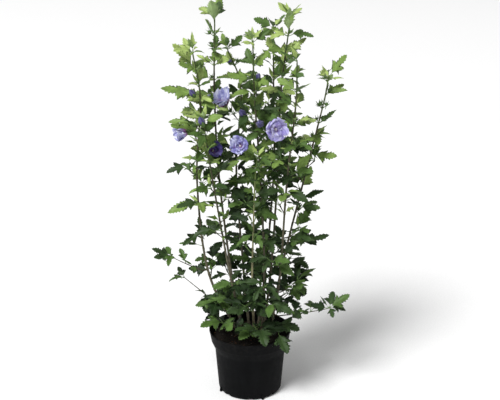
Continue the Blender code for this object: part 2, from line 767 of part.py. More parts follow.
def build_soil(collection, materials):
    wall = [p for p in inner_outline(WALL + GAP) if p[1] < SOIL_TOP]
    edge_height = SOIL_TOP - SOIL_EDGE_DROP
    slope = BAND_TAPER / BAND_DEPTH
    edge = RIM_RADIUS - WALL - GAP - (POT_HEIGHT - edge_height) * slope
    profile = [
        (0, SOIL_TOP),
        (SOIL_FLAT_RADIUS, SOIL_TOP),
        (edge, edge_height),
        *wall,
        (0, wall[-1][1]),
    ]
    soil = add_object("potting_soil", turned_mesh("potting_soil", profile), collection, materials["soil"])
    shade(soil)


def shade(ob):
    ob.data.shade_smooth()
    ob.data.set_sharp_from_angle(angle=math.radians(35))


# --- Canes, crowns and sprays ------------------------------------------------------------------


def limb_split(path, tip_height):
    """How far along its path a cane's crown mass takes over."""
    split_height = SOIL_TOP + (tip_height - SOIL_TOP) * LIMB_SHARE
    distance = 0.0
    for start, end in zip(path, path[1:]):
        if end.z >= split_height:
            return distance + (end - start).length * (split_height - start.z) / (end.z - start.z)
        distance += (end - start).length
    return distance


def cut_path(path, start, end):
    """The stretch of a path between two distances along it."""
    points = [along(path, start)[0]]
    travelled = 0.0
    for before, after in zip(path, path[1:]):
        travelled += (after - before).length
        if start + 0.004 < travelled < end - 0.004:
            points.append(after.copy())
    points.append(along(path, end)[0])
    return points


def build_canes(collection, materials, room):
    """The ten limbs. Returns the crown stems that grow on from them."""
    crowns = {}
    for letter, cane in CANES.items():
        path = cane_path(cane)
        tip_height = cane.tip[2]
        split = limb_split(path, tip_height)
        limb = cut_path(path, 0, split)
        radii = [cane_radius(p.z, tip_height) for p in limb]
        mesh = tube_mesh("cane_" + letter, limb, radii, 1)
        ob = add_object("cane_" + letter, mesh, collection, materials["bark"])
        shade(ob)
        room.add_mesh("cane_" + letter, "limb", mesh)
        room.axes["cane_" + letter] = limb
        direction = (limb[-1] - limb[-2]).normalized()
        stem = cut_path(path, split, path_length(path))
        stem[0] = limb[-1] + direction * GAP
        stem.insert(1, limb[-1] + direction * 0.010)
        crowns["crown_" + letter] = stem
    return crowns


def spray_path(cane_solid, foot, foot_axis, tip):
    """A side stem that leaves the cane square to its surface, then turns up towards the tip."""
    out = tip - foot
    out = (out - foot_axis * out.dot(foot_axis)).normalized()
    place, normal, _, _ = cane_solid.ray_cast(foot + out * 0.03, -out)
    start = place + normal * GAP
    return smooth_path([start, start + normal * 0.012, start.lerp(tip, 0.6) - UP * 0.006, tip], 0.03)


def roomiest_tip(room, foot, length, outward, index):
    """Where a spray's tip has the most room, out of the azimuths on its side of the cane."""
    best = None
    for step in range(-5, 6):
        azimuth = outward + math.radians(18 * step) + TURN * index
        tip = foot + heading(azimuth, math.atan(SPRAY_RISE)) * length
        spare = min(distance_to_path(tip, path) for path in room.axes.values())
        if best is None or spare > best[0]:
            best = (spare, tip)
    return best[1]


def plan_sprays(room):
    """Every side spray's name, cane, height and tip (None for one that looks for room)."""
    plans = [(name, s.cane, s.height, Vector(s.tip), 0) for name, s in SHOOTS.items()]
    for k in range(SPRAYS_PER_CANE):
        for number, letter in enumerate(CANES):
            if k == SPRAYS_PER_CANE - 1 and letter in SHORT_CANES:
                continue
            top = room.axes["cane_" + letter][-1].z - 0.03
            share = (k + 0.1 + 0.2 * (number * 3 % 5)) / SPRAYS_PER_CANE
            height = LOWEST_SPRAY + (top - LOWEST_SPRAY) * share
            plans.append((f"spray_{letter}_{k + 1}", letter, height, None, k))
    return plans


def point_at_height(path, height):
    for start, end in zip(path, path[1:]):
        if start.z <= height <= end.z:
            return start.lerp(end, (height - start.z) / (end.z - start.z)), (end - start).normalized()
    return path[-1], (path[-1] - path[-2]).normalized()


def plan_masses(room, crowns):
    """The stems of all masses, placed before any leaf so that leaves can keep clear of them."""
    stems = {}
    trees = {owner: tree for owner, kind, tree, _, _ in room.solids if kind == "limb"}
    for name, path in crowns.items():
        room.axes[name] = path
        stems[name] = path
    for number, (name, letter, height, tip, k) in enumerate(plan_sprays(room)):
        foot, axis = point_at_height(room.axes["cane_" + letter], height)
        if tip is None:
            outward = azimuth_of(foot - CROWN_MIDDLE)
            tip = roomiest_tip(room, foot, SPRAY_LENGTHS[k], outward, number % 3)
        path = spray_path(trees["cane_" + letter], foot, axis, tip)
        room.axes[name] = path
        stems[name] = path
    return stems


def stem_radii(name, path):
    if name.startswith("crown"):
        tip_height = CANES[name[-1]].tip[2]
        return [cane_radius(p.z, tip_height) for p in path]
    count = len(path) - 1
    foot, tip = SPRAY_RADII
    return [foot + (tip - foot) * k / count for k in range(count + 1)]


def dress_crown(mass):
    """Spurs on the older wood, single leaves above, and a tuft at the tip."""
    length = path_length(mass.path)
    distance = CROWN_FIRST_NODE
    number = 0
    while distance < length - CROWN_STEP * 0.6:
        share = distance / length
        azimuth = mass.turn + TURN * number
        size = 1.0 - 0.18 * share
        if share < SPUR_SHARE:
            mass.spur(distance, azimuth, size)
        else:
            root, _ = along(mass.path, distance)
            mass.leaf_near(root, azimuth, size)
            mass.leaf_near(root, azimuth + math.pi * 0.8, size * 0.9)
        distance += CROWN_STEP * (1.0 - 0.25 * share)
        number += 1
    tip, _ = along(mass.path, length - 0.004)
    for k in range(TUFT_LEAVES):
        mass.leaf_near(tip, mass.turn + TURN * (number + k), TUFT_SIZE)


def dress_spray(mass):
    """Leaves along a side shoot, in twos, and three at its end."""
    length = path_length(mass.path)
    wanted, size = LEAVES_PER_SPRAY, 1.0
    if mass.name in SHOOTS:
        wanted, size = SHOOTS[mass.name].leaves, SHOOTS[mass.name].size
    tip, _ = along(mass.path, length - 0.003)
    ahead = azimuth_of(mass.path[-1] - mass.path[0])
    for k in range(TUFT_LEAVES):
        mass.leaf_near(tip, ahead + FAN * (k - (TUFT_LEAVES - 1) / 2), size)
    side_leaves = wanted - TUFT_LEAVES
    for k in range(side_leaves):
        root, _ = along(mass.path, length * (0.35 + 0.45 * k / max(1, side_leaves)))
        mass.leaf_near(root, ahead + FAN * (-1) ** k + 0.3 * mass.draw.uniform(-1, 1), size)


def build_masses(collection, materials, room, crowns):
    stems = plan_masses(room, crowns)
    masses = {}
    for index, (name, path) in enumerate(stems.items()):
        radii = stem_radii(name, path)
        room.add_mesh(name, "limb", tube_mesh(name, path, radii, 0))
        masses[name] = Mass(name, path, radii, room, index)
    for bloom in BLOOMS:
        masses[bloom.mass].bloom(bloom)
    for name, tip, leaf_length in REACHING_LEAVES:
        masses[name].reaching_leaf(tip, leaf_length)
    for mass in masses.values():
        if mass.name.startswith("crown"):
            dress_crown(mass)
        else:
            dress_spray(mass)
    for mass in masses.values():
        mass.joined(collection, materials)


def main():
    clear_scene()
    shrub = new_collection("hibiscus shrub")
    cutters = new_collection("cutters")
    materials = {
        "pot": new_material("black plastic", (0.010, 0.011, 0.012), 0.55),
        "soil": new_material("potting soil", (0.030, 0.022, 0.016), 0.95),
        "bark": new_material("cane bark", (0.150, 0.130, 0.085), 0.80),
        "foliage": new_material("hibiscus leaf", (0.060, 0.140, 0.030), 0.55),
        "petals": new_material("violet petals", (0.380, 0.280, 0.620), 0.60),
    }
    room = Room()
    build_pot(shrub, cutters, materials)
    build_soil(shrub, materials)
    for ob in shrub.objects:
        room.add_mesh(ob.name, "limb", ob.data)
    crowns = build_canes(shrub, materials, room)
    build_masses(shrub, materials, room, crowns)


main()
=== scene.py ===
"""Potted hibiscus shrub: the finish of its pot, soil, bark, leaves, buds and flowers.

The plant grows here by the seeded rule of its solids, so canes, crown stems, sprays, spurs and leaves
stand where the solids stand. The growth then goes one step finer, to second and young leaves, stipules and
green buds, and every leaf, bud and flower is drawn in its own outline.
"""

import json
import math
import random
from collections import defaultdict, namedtuple

import bmesh
import bpy
import numpy as np
from mathutils import Matrix, Vector
from mathutils import noise as bpy_noise
from mathutils.bvhtree import BVHTree

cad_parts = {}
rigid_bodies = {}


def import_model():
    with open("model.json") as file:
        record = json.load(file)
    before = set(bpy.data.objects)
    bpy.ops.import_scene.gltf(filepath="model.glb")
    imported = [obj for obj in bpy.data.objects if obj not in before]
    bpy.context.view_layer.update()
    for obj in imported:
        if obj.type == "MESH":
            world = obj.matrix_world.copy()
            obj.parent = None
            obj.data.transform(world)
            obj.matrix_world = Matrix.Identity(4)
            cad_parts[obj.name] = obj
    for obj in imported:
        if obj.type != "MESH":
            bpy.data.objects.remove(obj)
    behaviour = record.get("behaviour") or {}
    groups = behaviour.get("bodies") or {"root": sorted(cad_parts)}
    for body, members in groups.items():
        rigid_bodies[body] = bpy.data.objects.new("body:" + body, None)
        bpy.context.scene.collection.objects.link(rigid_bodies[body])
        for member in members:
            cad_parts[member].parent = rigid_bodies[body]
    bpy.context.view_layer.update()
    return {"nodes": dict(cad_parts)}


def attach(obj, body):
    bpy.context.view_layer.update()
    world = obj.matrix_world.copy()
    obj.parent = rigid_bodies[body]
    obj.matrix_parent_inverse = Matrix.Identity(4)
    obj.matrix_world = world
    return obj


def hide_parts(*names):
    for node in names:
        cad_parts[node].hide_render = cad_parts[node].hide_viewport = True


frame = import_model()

NODES = frame["nodes"]
BODY = "root"
UP = Vector((0, 0, 1))

# --- Camera and light ---
EYE = Vector((0, -3.0, 1.645))  # the camera's place
CAMERA_DIP = math.radians(18.6)
CAMERA_LENS = 74.52
SENSOR_WIDTH = 36
FLOOR_RADIUS = 30
FLOOR_SPAN = (-0.02, -0.0005)  # heights of its underside and top
KEY_FROM = Vector((-0.50, -0.62, 1.00))
KEY_STRENGTH = 3.1
KEY_SPREAD = math.radians(24)
SKY_STRENGTH = 0.40

# --- Pot and soil ---
GAP = 0.0003
CLEAR = 0.0012
RIM_RADIUS = 0.130
POT_HEIGHT = 0.205
BAND_DEPTH = 0.038
BAND_TAPER = 0.0065
NECK_DROP = 0.026
BODY_TOP_RADIUS = 0.1115
BODY_FOOT_RADIUS = 0.100
FOOT_ROUND = 0.011
WALL = 0.0024
SLOTS = 8
SLOT_SIZE = (0.030, 0.016, 0.018)
LUGS = 4
LUG_TURN = math.radians(23)
LUG_RADIUS = 0.0040
SOIL_TOP = 0.178
SOIL_FLAT_RADIUS = 0.092
SOIL_EDGE_DROP = 0.006
SOIL_FOOT = 0.150  # height where the drawn soil ends, out of sight
SHARP_ANGLE = math.radians(40)

# --- Canes: where each stands (x, y) at its foot and at three heights, and its tip (x, y, z) ---
KNEE, WAIST, SHOULDER = 0.40, 0.70, 0.95
Cane = namedtuple("Cane", "foot knee waist shoulder tip")
CANES = {
    "a": Cane((-0.040, 0.000), (-0.130, -0.004), (-0.160, -0.016), (-0.146, -0.025), (-0.166, -0.028, 1.096)),
    "b": Cane((-0.028, 0.035), (-0.062, 0.041), (-0.096, 0.049), (-0.107, 0.055), (-0.104, 0.060, 1.188)),
    "c": Cane((-0.018, -0.018), (-0.061, -0.036), (-0.108, -0.066), None, (-0.136, -0.092, 0.910)),
    "d": Cane((-0.004, 0.050), (-0.023, 0.078), (-0.043, 0.110), (-0.028, 0.132), (-0.070, 0.142, 1.076)),
    "e": Cane((0.012, -0.010), (0.007, -0.042), (0.014, -0.076), None, (0.022, -0.086, 0.796)),
    "f": Cane((0.036, 0.012), (0.045, 0.013), (0.032, 0.000), (0.014, -0.012), (0.008, -0.016, 1.125)),
    "g": Cane((0.062, -0.012), (0.093, -0.032), (0.109, -0.060), (0.132, -0.079), (0.134, -0.087, 1.084)),
    "h": Cane((0.066, 0.030), (0.099, 0.021), (0.166, 0.020), (0.223, 0.020), (0.232, 0.020, 1.035)),
    "i": Cane((0.028, 0.060), (0.053, 0.088), (0.075, 0.122), (0.073, 0.148), (0.071, 0.162, 1.140)),
    "j": Cane((0.046, 0.048), (0.068, 0.058), (0.086, 0.074), (0.094, 0.087), (0.121, 0.096, 1.180)),
}
CANE_RADIUS = 0.0043
FLARE = 1.55
FLARE_HEIGHT = 0.030
TIP_RADIUS = 0.0014
LIMB_SHARE = 0.45
PATH_STEP = 0.055

# --- Side sprays ---
SPRAYS_PER_CANE = 3
SHORT_CANES = "ce"  # these have one spray fewer
LOWEST_SPRAY = 0.275
SPRAY_LENGTHS = (0.075, 0.065, 0.055)
SPRAY_RISE = 0.55
SPRAY_RADII = (0.0021, 0.0012)
SPRAY_STUB = 0.012  # how far a spray runs square to its cane
SPRAY_SAG = 0.006
SPRAY_STEP = 0.03
CROWN_MIDDLE = Vector((0.02, 0.02, 0))
TURN = math.radians(137.5)
Shoot = namedtuple("Shoot", "cane height tip leaves size")
SHOOTS = {
    "low_left_shoot": Shoot("a", 0.410, (-0.244, -0.018, 0.456), 5, 0.80),
    "lower_left_shoot": Shoot("a", 0.300, (-0.205, -0.035, 0.395), 4, 0.75),
    "low_right_shoot": Shoot("g", 0.262, (0.252, -0.030, 0.288), 6, 0.75),
    "front_spray": Shoot("e", 0.232, (0.030, -0.085, 0.232), 5, 1.20),
    "middle_spray": Shoot("e", 0.285, (-0.014, -0.098, 0.325), 5, 1.10),
    "right_middle_spray": Shoot("g", 0.295, (0.066, -0.108, 0.330), 5, 1.10),
    "rim_spray": Shoot("g", 0.236, (0.088, -0.086, 0.234), 4, 1.20),
    "back_spray": Shoot("d", 0.245, (-0.035, 0.135, 0.262), 5, 1.10),
    "left_soil_spray": Shoot("c", 0.240, (-0.085, -0.062, 0.250), 5, 1.20),
    "right_back_spray": Shoot("j", 0.255, (0.125, 0.110, 0.275), 5, 1.10),
}
REACHING_LEAVES = (
    ("crown_b", (-0.112, 0.010, 1.240), 0.080),
    ("crown_j", (0.118, 0.080, 1.210), 0.080),
    ("crown_a", (-0.225, -0.030, 1.120), 0.092),
    ("crown_h", (0.285, 0.015, 1.080), 0.092),
    ("crown_h", (0.262, -0.020, 0.780), 0.092),
    ("crown_h", (0.225, -0.020, 0.672), 0.092),
    ("crown_h", (0.216, -0.010, 0.612), 0.092),
    ("crown_a", (-0.262, -0.030, 0.990), 0.092),
    ("crown_a", (-0.252, -0.020, 0.600), 0.092),
    ("spray_h_3", (0.246, -0.005, 0.523), 0.092),
    ("low_left_shoot", (-0.304, -0.020, 0.484), 0.072),
    ("low_right_shoot", (0.312, -0.030, 0.334), 0.078),
    ("rim_spray", (0.114, -0.154, 0.190), 0.092),
)

# --- Openings in the crown: centre and half size, as they show from EYE on the plane y = 0 ---
Opening = namedtuple("Opening", "x z half_width half_height")
OPENINGS = [Opening(*row) for row in (
    (-0.050, 1.200, 0.040, 0.070), (0.035, 1.215, 0.035, 0.030),
    (-0.130, 1.125, 0.025, 0.040), (0.030, 1.110, 0.025, 0.025),
    (0.160, 1.080, 0.030, 0.035), (0.225, 1.080, 0.040, 0.035),
    (0.040, 1.035, 0.015, 0.030), (0.180, 1.030, 0.020, 0.025),
    (-0.235, 1.000, 0.030, 0.020), (-0.070, 0.995, 0.025, 0.015),
    (0.205, 0.945, 0.055, 0.055), (-0.225, 0.925, 0.015, 0.040),
    (0.190, 0.860, 0.020, 0.015), (0.225, 0.770, 0.025, 0.035),
    (-0.080, 0.710, 0.015, 0.030), (-0.190, 0.700, 0.025, 0.035),
    (0.185, 0.675, 0.020, 0.035), (0.120, 0.560, 0.020, 0.025),
    (-0.200, 0.550, 0.035, 0.040), (0.195, 0.565, 0.040, 0.022),
    (-0.120, 0.515, 0.020, 0.020), (-0.135, 0.500, 0.030, 0.020),
    (0.200, 0.455, 0.040, 0.045), (-0.190, 0.370, 0.040, 0.020),
    (0.210, 0.365, 0.045, 0.035), (0.165, 0.235, 0.025, 0.020),
)]

# --- Leaves of the source's rule ---
CROWN_TOP = 1.243
LEAF_LENGTH = (0.062, 0.082)
LOW_SIZE = 0.80
PETIOLE = (0.014, 0.026)
LEAF_RISE = (15, 50)
LEAF_DROOP = (-48, 8)
TOP_LIFT = 38
LEAF_ROLL = 34
FAN = math.radians(75)
LEAF_TURNS = (0, 22, -22, 44, -44, 66, -66, 90, -90)  # degrees from the wanted direction, tried in turn
LEAF_DROPS = (0, 20, -18, 40)  # degrees from the wanted droop
SPUR_TURNS = (0, 40, -40, 80, -80, 120)
LEAF_OVER_SOIL = 0.010
LEAF_HALF_WIDTH = 0.34
LOBE_AT = 0.40
LEAF_THICKNESS = 0.0018
PETIOLE_HALF = 0.0010
SPUR_LENGTH = 0.034
SPUR_RISE = math.radians(42)
SPUR_LEAVES = 3
SPUR_ROOT = 0.0022
SPUR_RADIUS = 0.0012
SPUR_END_RADIUS = 0.0026
LIGHT_TURN = 35
LIGHT_LIFT = 30
REACH = 0.125
SHARED_SPACE = 0.035
NEAREST_STEM = 0.030
CROWN_FIRST_NODE = 0.022
CROWN_STEP = 0.053
CROWN_SHRINK = 0.18  # how much smaller the leaves are at the tip
CROWN_CLOSER = 0.25  # how much closer the nodes are at the tip
OPPOSITE_LEAF = (math.pi * 0.8, 0.9)  # turn and size of the second leaf of the source's rule
SPUR_SHARE = 0.55
TUFT_LEAVES = 3
TUFT_SIZE = 0.72
LEAVES_PER_SPRAY = 5
PETALS = 12

# --- Flowers and buds: mass, centre, the way it faces, width, tone, and how far a flower is open ---
Bloom = namedtuple("Bloom", "mass kind centre faces width tone open")
FLOWERS = (
    ("crown_g", (0.074, -0.128, 0.892), (-0.05, -1.0, 0.35), 0.076, "lilac", 1.00),
    ("crown_e", (-0.029, -0.108, 0.838), (-0.25, -1.0, 0.45), 0.062, "violet", 0.90),
    ("crown_a", (-0.200, -0.052, 0.858), (-0.95, -0.5, -0.35), 0.050, "lavender", 0.25),
    ("crown_c", (-0.108, -0.040, 0.806), (0.30, -0.7, 0.65), 0.056, "indigo", 0.55),
    ("crown_b", (-0.082, 0.000, 0.948), (-0.35, -0.30, 0.9), 0.072, "lavender", 0.52),
    ("crown_i", (0.083, 0.210, 0.803), (0.2, 1.0, 0.35), 0.068, "violet", 0.95),
)
BUDS = (
    ("crown_a", (-0.166, -0.060, 0.980), (-0.5, -0.3, 0.8), 0.018, "violet"),
    ("crown_c", (-0.139, -0.100, 0.905), (-0.4, -0.2, 1.0), 0.020, "violet"),
    ("crown_f", (-0.021, 0.000, 0.905), (-0.4, -0.5, 0.8), 0.022, "violet"),
    ("crown_d", (-0.061, 0.120, 1.038), (-0.2, -0.3, 0.9), 0.013, "violet"),
    ("crown_f", (0.030, -0.050, 0.888), (-0.2, -0.9, 0.3), 0.024, "violet"),
    ("crown_f", (0.022, -0.030, 1.022), (0.4, -0.3, 0.9), 0.016, "violet"),
    ("crown_h", (0.226, 0.000, 0.930), (0.1, -0.6, 0.9), 0.014, "green"),
)
BLOOMS = [Bloom(mass, "flower", *row) for mass, *row in FLOWERS]
BLOOMS += [Bloom(mass, "bud", *row, 0) for mass, *row in BUDS]
PEDUNCLE_RADIUS = 0.0011
FACE_HALF = 0.48  # half of a flower's face that leaves keep clear of, over its width
BLOOM_BACK = 0.28  # how far behind its centre a bloom's stalk ends, over its width

# --- Finer growth ---
SECOND_LENGTH = (0.044, 0.070)  # blades of the second leaves at a node
YOUNG_LENGTH = (0.022, 0.042)  # blades of the young leaves in the axils
SECOND_LEAVES = ((1.04, 0.5), (0.84, 0.75), (0.70, 0.3), (0.37, 0), (0, 0.4))  # height, and how many above it
YOUNG_LEAVES = {"spur": 2, "stem": 2, "shoot": 1, "tip": 5}  # how many at each kind of node
TRIES = (0, 45, -45, 90, -90)  # degrees from the wanted direction
FINE_PETIOLE = 0.30  # over the blade
SECOND_RISE = (0, 40)
SECOND_DROOP = (-45, 15)
YOUNG_RISE = (35, 60)
YOUNG_DROOP = (-15, 40)
TIP_LIFT = 22  # degrees that the young leaves of a tip stand higher
TIP_GROWTH = 1.2
LOWEST_BUD = 0.70  # height above which green buds stand in the axils
BUD_CHANCE = 0.75
BUDS_AT_NODE = {"crown_h": 3}  # one on the other masses
BUD_RISE = (35, 65)
BUD_SIZE = (0.8, 1.15)
BUD_ROOM = (0.008, 0.030, 0.002, 0.006)  # where a green bud's room starts and ends, and its radii there
STIPULE = 0.007

# --- Leaf outline: each tooth (along, across, where its vein leaves the midrib), over the blade ---
Form = namedtuple("Form", "teeth sinus lobing notch")  # sinus: the deep notch follows this many teeth
GROWN_FORMS = (
    Form(  # three lobes, the middle one long
        ((0.14, 0.110, 0.004), (0.27, 0.240, 0.010), (0.460, 0.375, 0.025), (0.510, 0.270, 0.080),
         (0.585, 0.175, 0.300), (0.715, 0.205, 0.430), (0.835, 0.160, 0.610), (0.935, 0.090, 0.790)),
        4, 0.50, 0.30,
    ),
    Form(  # three broad lobes
        ((0.13, 0.150, 0.004), (0.25, 0.290, 0.012), (0.440, 0.410, 0.030), (0.520, 0.300, 0.100),
         (0.635, 0.205, 0.330), (0.745, 0.200, 0.480), (0.855, 0.145, 0.640), (0.945, 0.080, 0.800)),
        4, 0.46, 0.30,
    ),
    Form(  # hardly lobed
        ((0.20, 0.120, 0.004), (0.33, 0.225, 0.040), (0.460, 0.270, 0.120), (0.600, 0.245, 0.260),
         (0.710, 0.200, 0.400), (0.820, 0.145, 0.560), (0.915, 0.085, 0.740)),
        9, 0.0, 0.30,
    ),
    Form(  # deeply cut, with slender lobes
        ((0.22, 0.090, 0.004), (0.33, 0.205, 0.010), (0.500, 0.340, 0.020), (0.545, 0.255, 0.070),
         (0.570, 0.125, 0.280), (0.700, 0.165, 0.400), (0.820, 0.140, 0.580), (0.925, 0.085, 0.780)),
        4, 0.56, 0.28,
    ),
)
FORM_SHARES = ((3, 4), (4, 4), (0.2, 3), (3, 1))  # how common each is at the crown's foot and top
YOUNG_FORMS = (
    Form(((0.24, 0.115, 0.03), (0.44, 0.180, 0.12), (0.64, 0.135, 0.42), (0.82, 0.075, 0.66)), 9, 0.0, 0.16),
    Form(((0.26, 0.110, 0.02), (0.42, 0.250, 0.06), (0.58, 0.120, 0.36), (0.78, 0.085, 0.60)), 2, 0.35, 0.16),
)
GROWN_COLUMNS = (0, 0.40, 0.75, 1)
YOUNG_COLUMNS = (0, 0.55, 1)
VEIN_HALF = 0.007
BREADTH = (0.92, 1.26)
BREADTH_AT = ((0, 0.12, 0.30, 0.55), (1.20, 1.08, 0.82, 1.0))  # over that, by height in the crown
FOLD = (0.12, 0.60)  # how far the halves rise from the midrib
PUFF = 0.013  # how far the blade bulges between its veins
RIB = 0.004
SHEET = 0.00035  # thickness of leaf and petal
LEAF_TWIST = 0.45
LEAF_CURL = (0.3, 1.4)
WAVE_DEPTH = (0.06, 0.20)
WAVES = (7, 12)
WAVE_START = (0, 6)
LONG_PETIOLE = 0.012  # stalks longer than this are thick
THICK_PETIOLE = 0.00095
THIN_PETIOLE = 0.0006

# --- Tones of the leaves: 0 is the lightest, and heights are shares of the crown. The tones are partly the leaves' own colour and partly painted light and shade: lighter high in the crown and far out, darker low and inside it ---
FOOT_TONE = 4.0
TONE_CLIMB = 3.3  # how much lighter the crown's top is: partly its younger leaves, partly painted light
TONE_SCATTER = 1.3
YOUNG_LIGHT = 0.9
CANE_TOP_LIGHT = 0.85  # the height that a leaf at its cane's top counts as, at least
CANE_TOP_SPAN = 0.20  # metres below the top in which that fades by 1
OUTER_PAINTED_LIGHT = 1.1  # how much lighter leaves are far out: painted light
OUTER_FROM = 0.12
OUTER_SPAN = 0.10
NO_FRESH_BELOW = 0.30
NO_LIME_BELOW = 0.55
NO_YOUNG_LIME_BELOW = 0.35

# --- Detail of bark, pot and soil ---
YOUNG_CANES = "e"  # canes with the paler bark of young wood
BARK_STEP = 0.004
BARK_SIDES = 14
SWELLING = (0.50, 1.00), (1.00, 1.35)  # how much thicker the bark makes a stem, by height
BARK_RIDGES = ((0.050, 3, 22), (0.040, 5, -31), (0.035, 2, 63))  # height, count round, turn per metre
CANE_END = (0.95, 0.8, 0.45)  # how a cane's last rings narrow
FIRST_SCAR = 0.03
SCAR_STEP = 0.029
SCAR_HEIGHT = (0.12, 0.34)
POT_SIDES = 160
SOIL_SIDES = 110
SOIL_RINGS = 46
SOIL_HOLE = 0.004  # radius of the innermost ring
SOIL_CLEARANCE = 0.0004
SOIL_LUMPS = ((0, 38, 0.0024), (7, 150, 0.0012), (3, 420, 0.0007))  # noise layer, scale and height
CRUMBS = 1100
CRUMB_SHARES = (40, 40, 16, 3)  # of soil, crumb, bark chip and pale grain
BIG_CRUMB = (0.0016, 0.0036)
SMALL_CRUMB = (0.0006, 0.0017)
BIG_EVERY = 4
CRUMB_MARGIN = 0.004
CRUMB_STRETCH = ((0.7, 1.5), (0.6, 1.1), (0.35, 0.8))
CRUMB_DENTS = (0.72, 1.18)

# --- Detail of flowers: counts, and sizes over the flower's radius (those of bracts and buds in metres) ---
FLOWER_TURNS = {"crown_g": (0.60, 0, -0.30)}  # how a flower's face nods away from its stalk
OUTER_PETALS = 5
RUFFLE_PETALS = 17  # of a fully open flower
ANTHERS = 16
SEPALS = 5
BRACTS = 7
BRACT_RADII = (0.0008, 0.0011, 0.0010, 0.0007, 0.0002)
BUD_STALK_RADII = (0.0010, 0.0009, 0.0010, 0.0016)
COLUMN_LENGTH = 0.55
COLUMN_RADIUS = 0.045
ANTHER_SIZE = (0.06, 0.028)
SEPAL_SIZE = (0.55, 0.42)
THROAT_REACH = 0.75  # below 1, the throat's colour reaches further out on the ruffle

# --- Colours ---
BLACK, WHITE = (0, 0, 0), (1, 1, 1)
LEAF_TONES = (  # name, upper side, underside; deep and shade are partly painted shade, for leaves low and inside the crown
    ("lime", (0.385, 0.500, 0.155), (0.310, 0.430, 0.180)),
    ("fresh", (0.184, 0.288, 0.064), (0.165, 0.280, 0.095)),
    ("green", (0.080, 0.150, 0.032), (0.115, 0.175, 0.078)),
    ("deep", (0.034, 0.068, 0.018), (0.058, 0.096, 0.044)),
    # partly painted shade: the darkest tone, for leaves low and inside the crown
    ("shade", (0.015, 0.035, 0.009), (0.032, 0.058, 0.025)),
)
MIDRIB_TONES = (  # of the two lightest tones, and of the others; the dark one is a darker copy for the darker leaves, partly painted shade
    ("light", (0.230, 0.340, 0.105), (0.250, 0.340, 0.140)),
    ("dark", (0.060, 0.105, 0.030), (0.105, 0.160, 0.070)),
)
LIGHT_MIDRIB = 2 * len(LEAF_TONES)
DARK_MIDRIB = LIGHT_MIDRIB + 2
FIRST_DARK_LOOK = 4  # looks count by two, so the first two tones have the light midrib
LEAF_FINISH = ((0.50, 0.26), (0.70, 0.20))  # roughness and specular of the upper side and the underside
MIDRIB_FINISH = ((0.55, 0.3), (0.60, 0.3))
PETAL_TONES = (  # name, pale, main and deep
    ("lavender", (0.76, 0.78, 0.93), (0.40, 0.41, 0.70), (0.20, 0.20, 0.48)),
    ("lilac", (0.76, 0.75, 0.96), (0.49, 0.46, 0.81), (0.29, 0.24, 0.61)),
    ("violet", (0.60, 0.62, 0.85), (0.27, 0.27, 0.53), (0.14, 0.13, 0.38)),
    ("indigo", (0.19, 0.16, 0.45), (0.085, 0.065, 0.29), (0.040, 0.028, 0.17)),
    ("furled", (0.16, 0.15, 0.34), (0.060, 0.055, 0.17), (0.030, 0.026, 0.10)),
)
BARK_TONES = (0.165, 0.150, 0.106), (0.090, 0.085, 0.052), (0.085, 0.125, 0.038)
YOUNG_BARK_TONES = (0.300, 0.270, 0.170), (0.260, 0.270, 0.140), (0.150, 0.210, 0.065)
THROAT = (0.26, 0.02, 0.19)
STALK = (0.130, 0.220, 0.060)
TWIG_WOOD = (0.050, 0.044, 0.022)
SEPAL_GREEN = (0.090, 0.160, 0.045)
STAMEN_CREAM = (0.88, 0.86, 0.80)
LENTICEL = (0.21, 0.18, 0.13)
PLASTIC = (0.0016, 0.0018, 0.0021), (0.0036, 0.0039, 0.0044)
DUST = (0.026, 0.023, 0.019)
DUST_FROM = 0.150  # height above which the pot is dusty
SOIL_TONES = (  # name, dark and light
    ("potting_soil", (0.0080, 0.0065, 0.0055), (0.0240, 0.0190, 0.0150)),
    ("soil_crumb", (0.0100, 0.0075, 0.0060), (0.0400, 0.0280, 0.0200)),
    ("bark_chip", (0.0500, 0.0220, 0.0120), (0.1200, 0.0600, 0.0350)),
    ("pale_grain", (0.2200, 0.2000, 0.1700), (0.4500, 0.4200, 0.3800)),
)

# --- Seeds ---
MASS_SEED = 1000
FINE_SEED = 5000
BARK_SEED = 300
LEAF_SEED = 500
BLOOM_SEED = 700
SOIL_SEED = 9


# --- Paths ---


def smooth_path(points, step):
    """A Catmull-Rom curve through the points, cut into pieces about a step long."""
    ends = [2 * points[0] - points[1], *points, 2 * points[-1] - points[-2]]
    path = [points[0].copy()]
    for before, start, end, after in zip(ends, ends[1:], ends[2:], ends[3:]):
        pieces = max(1, round((end - start).length / step))
        for k in range(1, pieces + 1):
            t = k / pieces
            path.append(
                0.5 * (
                    2 * start
                    + (end - before) * t
                    + (2 * before - 5 * start + 4 * end - after) * t**2
                    + (3 * start - before - 3 * end + after) * t**3
                )
            )
    return path


def cane_path(cane, step=PATH_STEP):
    points = [Vector((*cane.foot, SOIL_TOP + GAP)), Vector((*cane.foot, SOIL_TOP + GAP + FLARE_HEIGHT / 2))]
    for place, height in ((cane.knee, KNEE), (cane.waist, WAIST), (cane.shoulder, SHOULDER)):
        if place:
            points.append(Vector((*place, height)))
    points.append(Vector(cane.tip))
    return points[:1] + smooth_path(points[1:], step)


def cane_radius(height, tip_height):
    """The taper of a cane, with a flare where it leaves the soil."""
    rise = height - SOIL_TOP
    share = rise / (tip_height - SOIL_TOP)
    taper = CANE_RADIUS + (TIP_RADIUS - CANE_RADIUS) * max(0.0, share) ** 0.9
    flare = max(0.0, 1 - rise / FLARE_HEIGHT)
    return taper * (1 + (FLARE - 1) * flare**1.5)


def along(path, distance):
    """The point and direction this far along a path."""
    for start, end in zip(path, path[1:]):
        length = (end - start).length
        if distance <= length:
            return start.lerp(end, distance / length), (end - start).normalized()
        distance -= length
    return path[-1].copy(), (path[-1] - path[-2]).normalized()


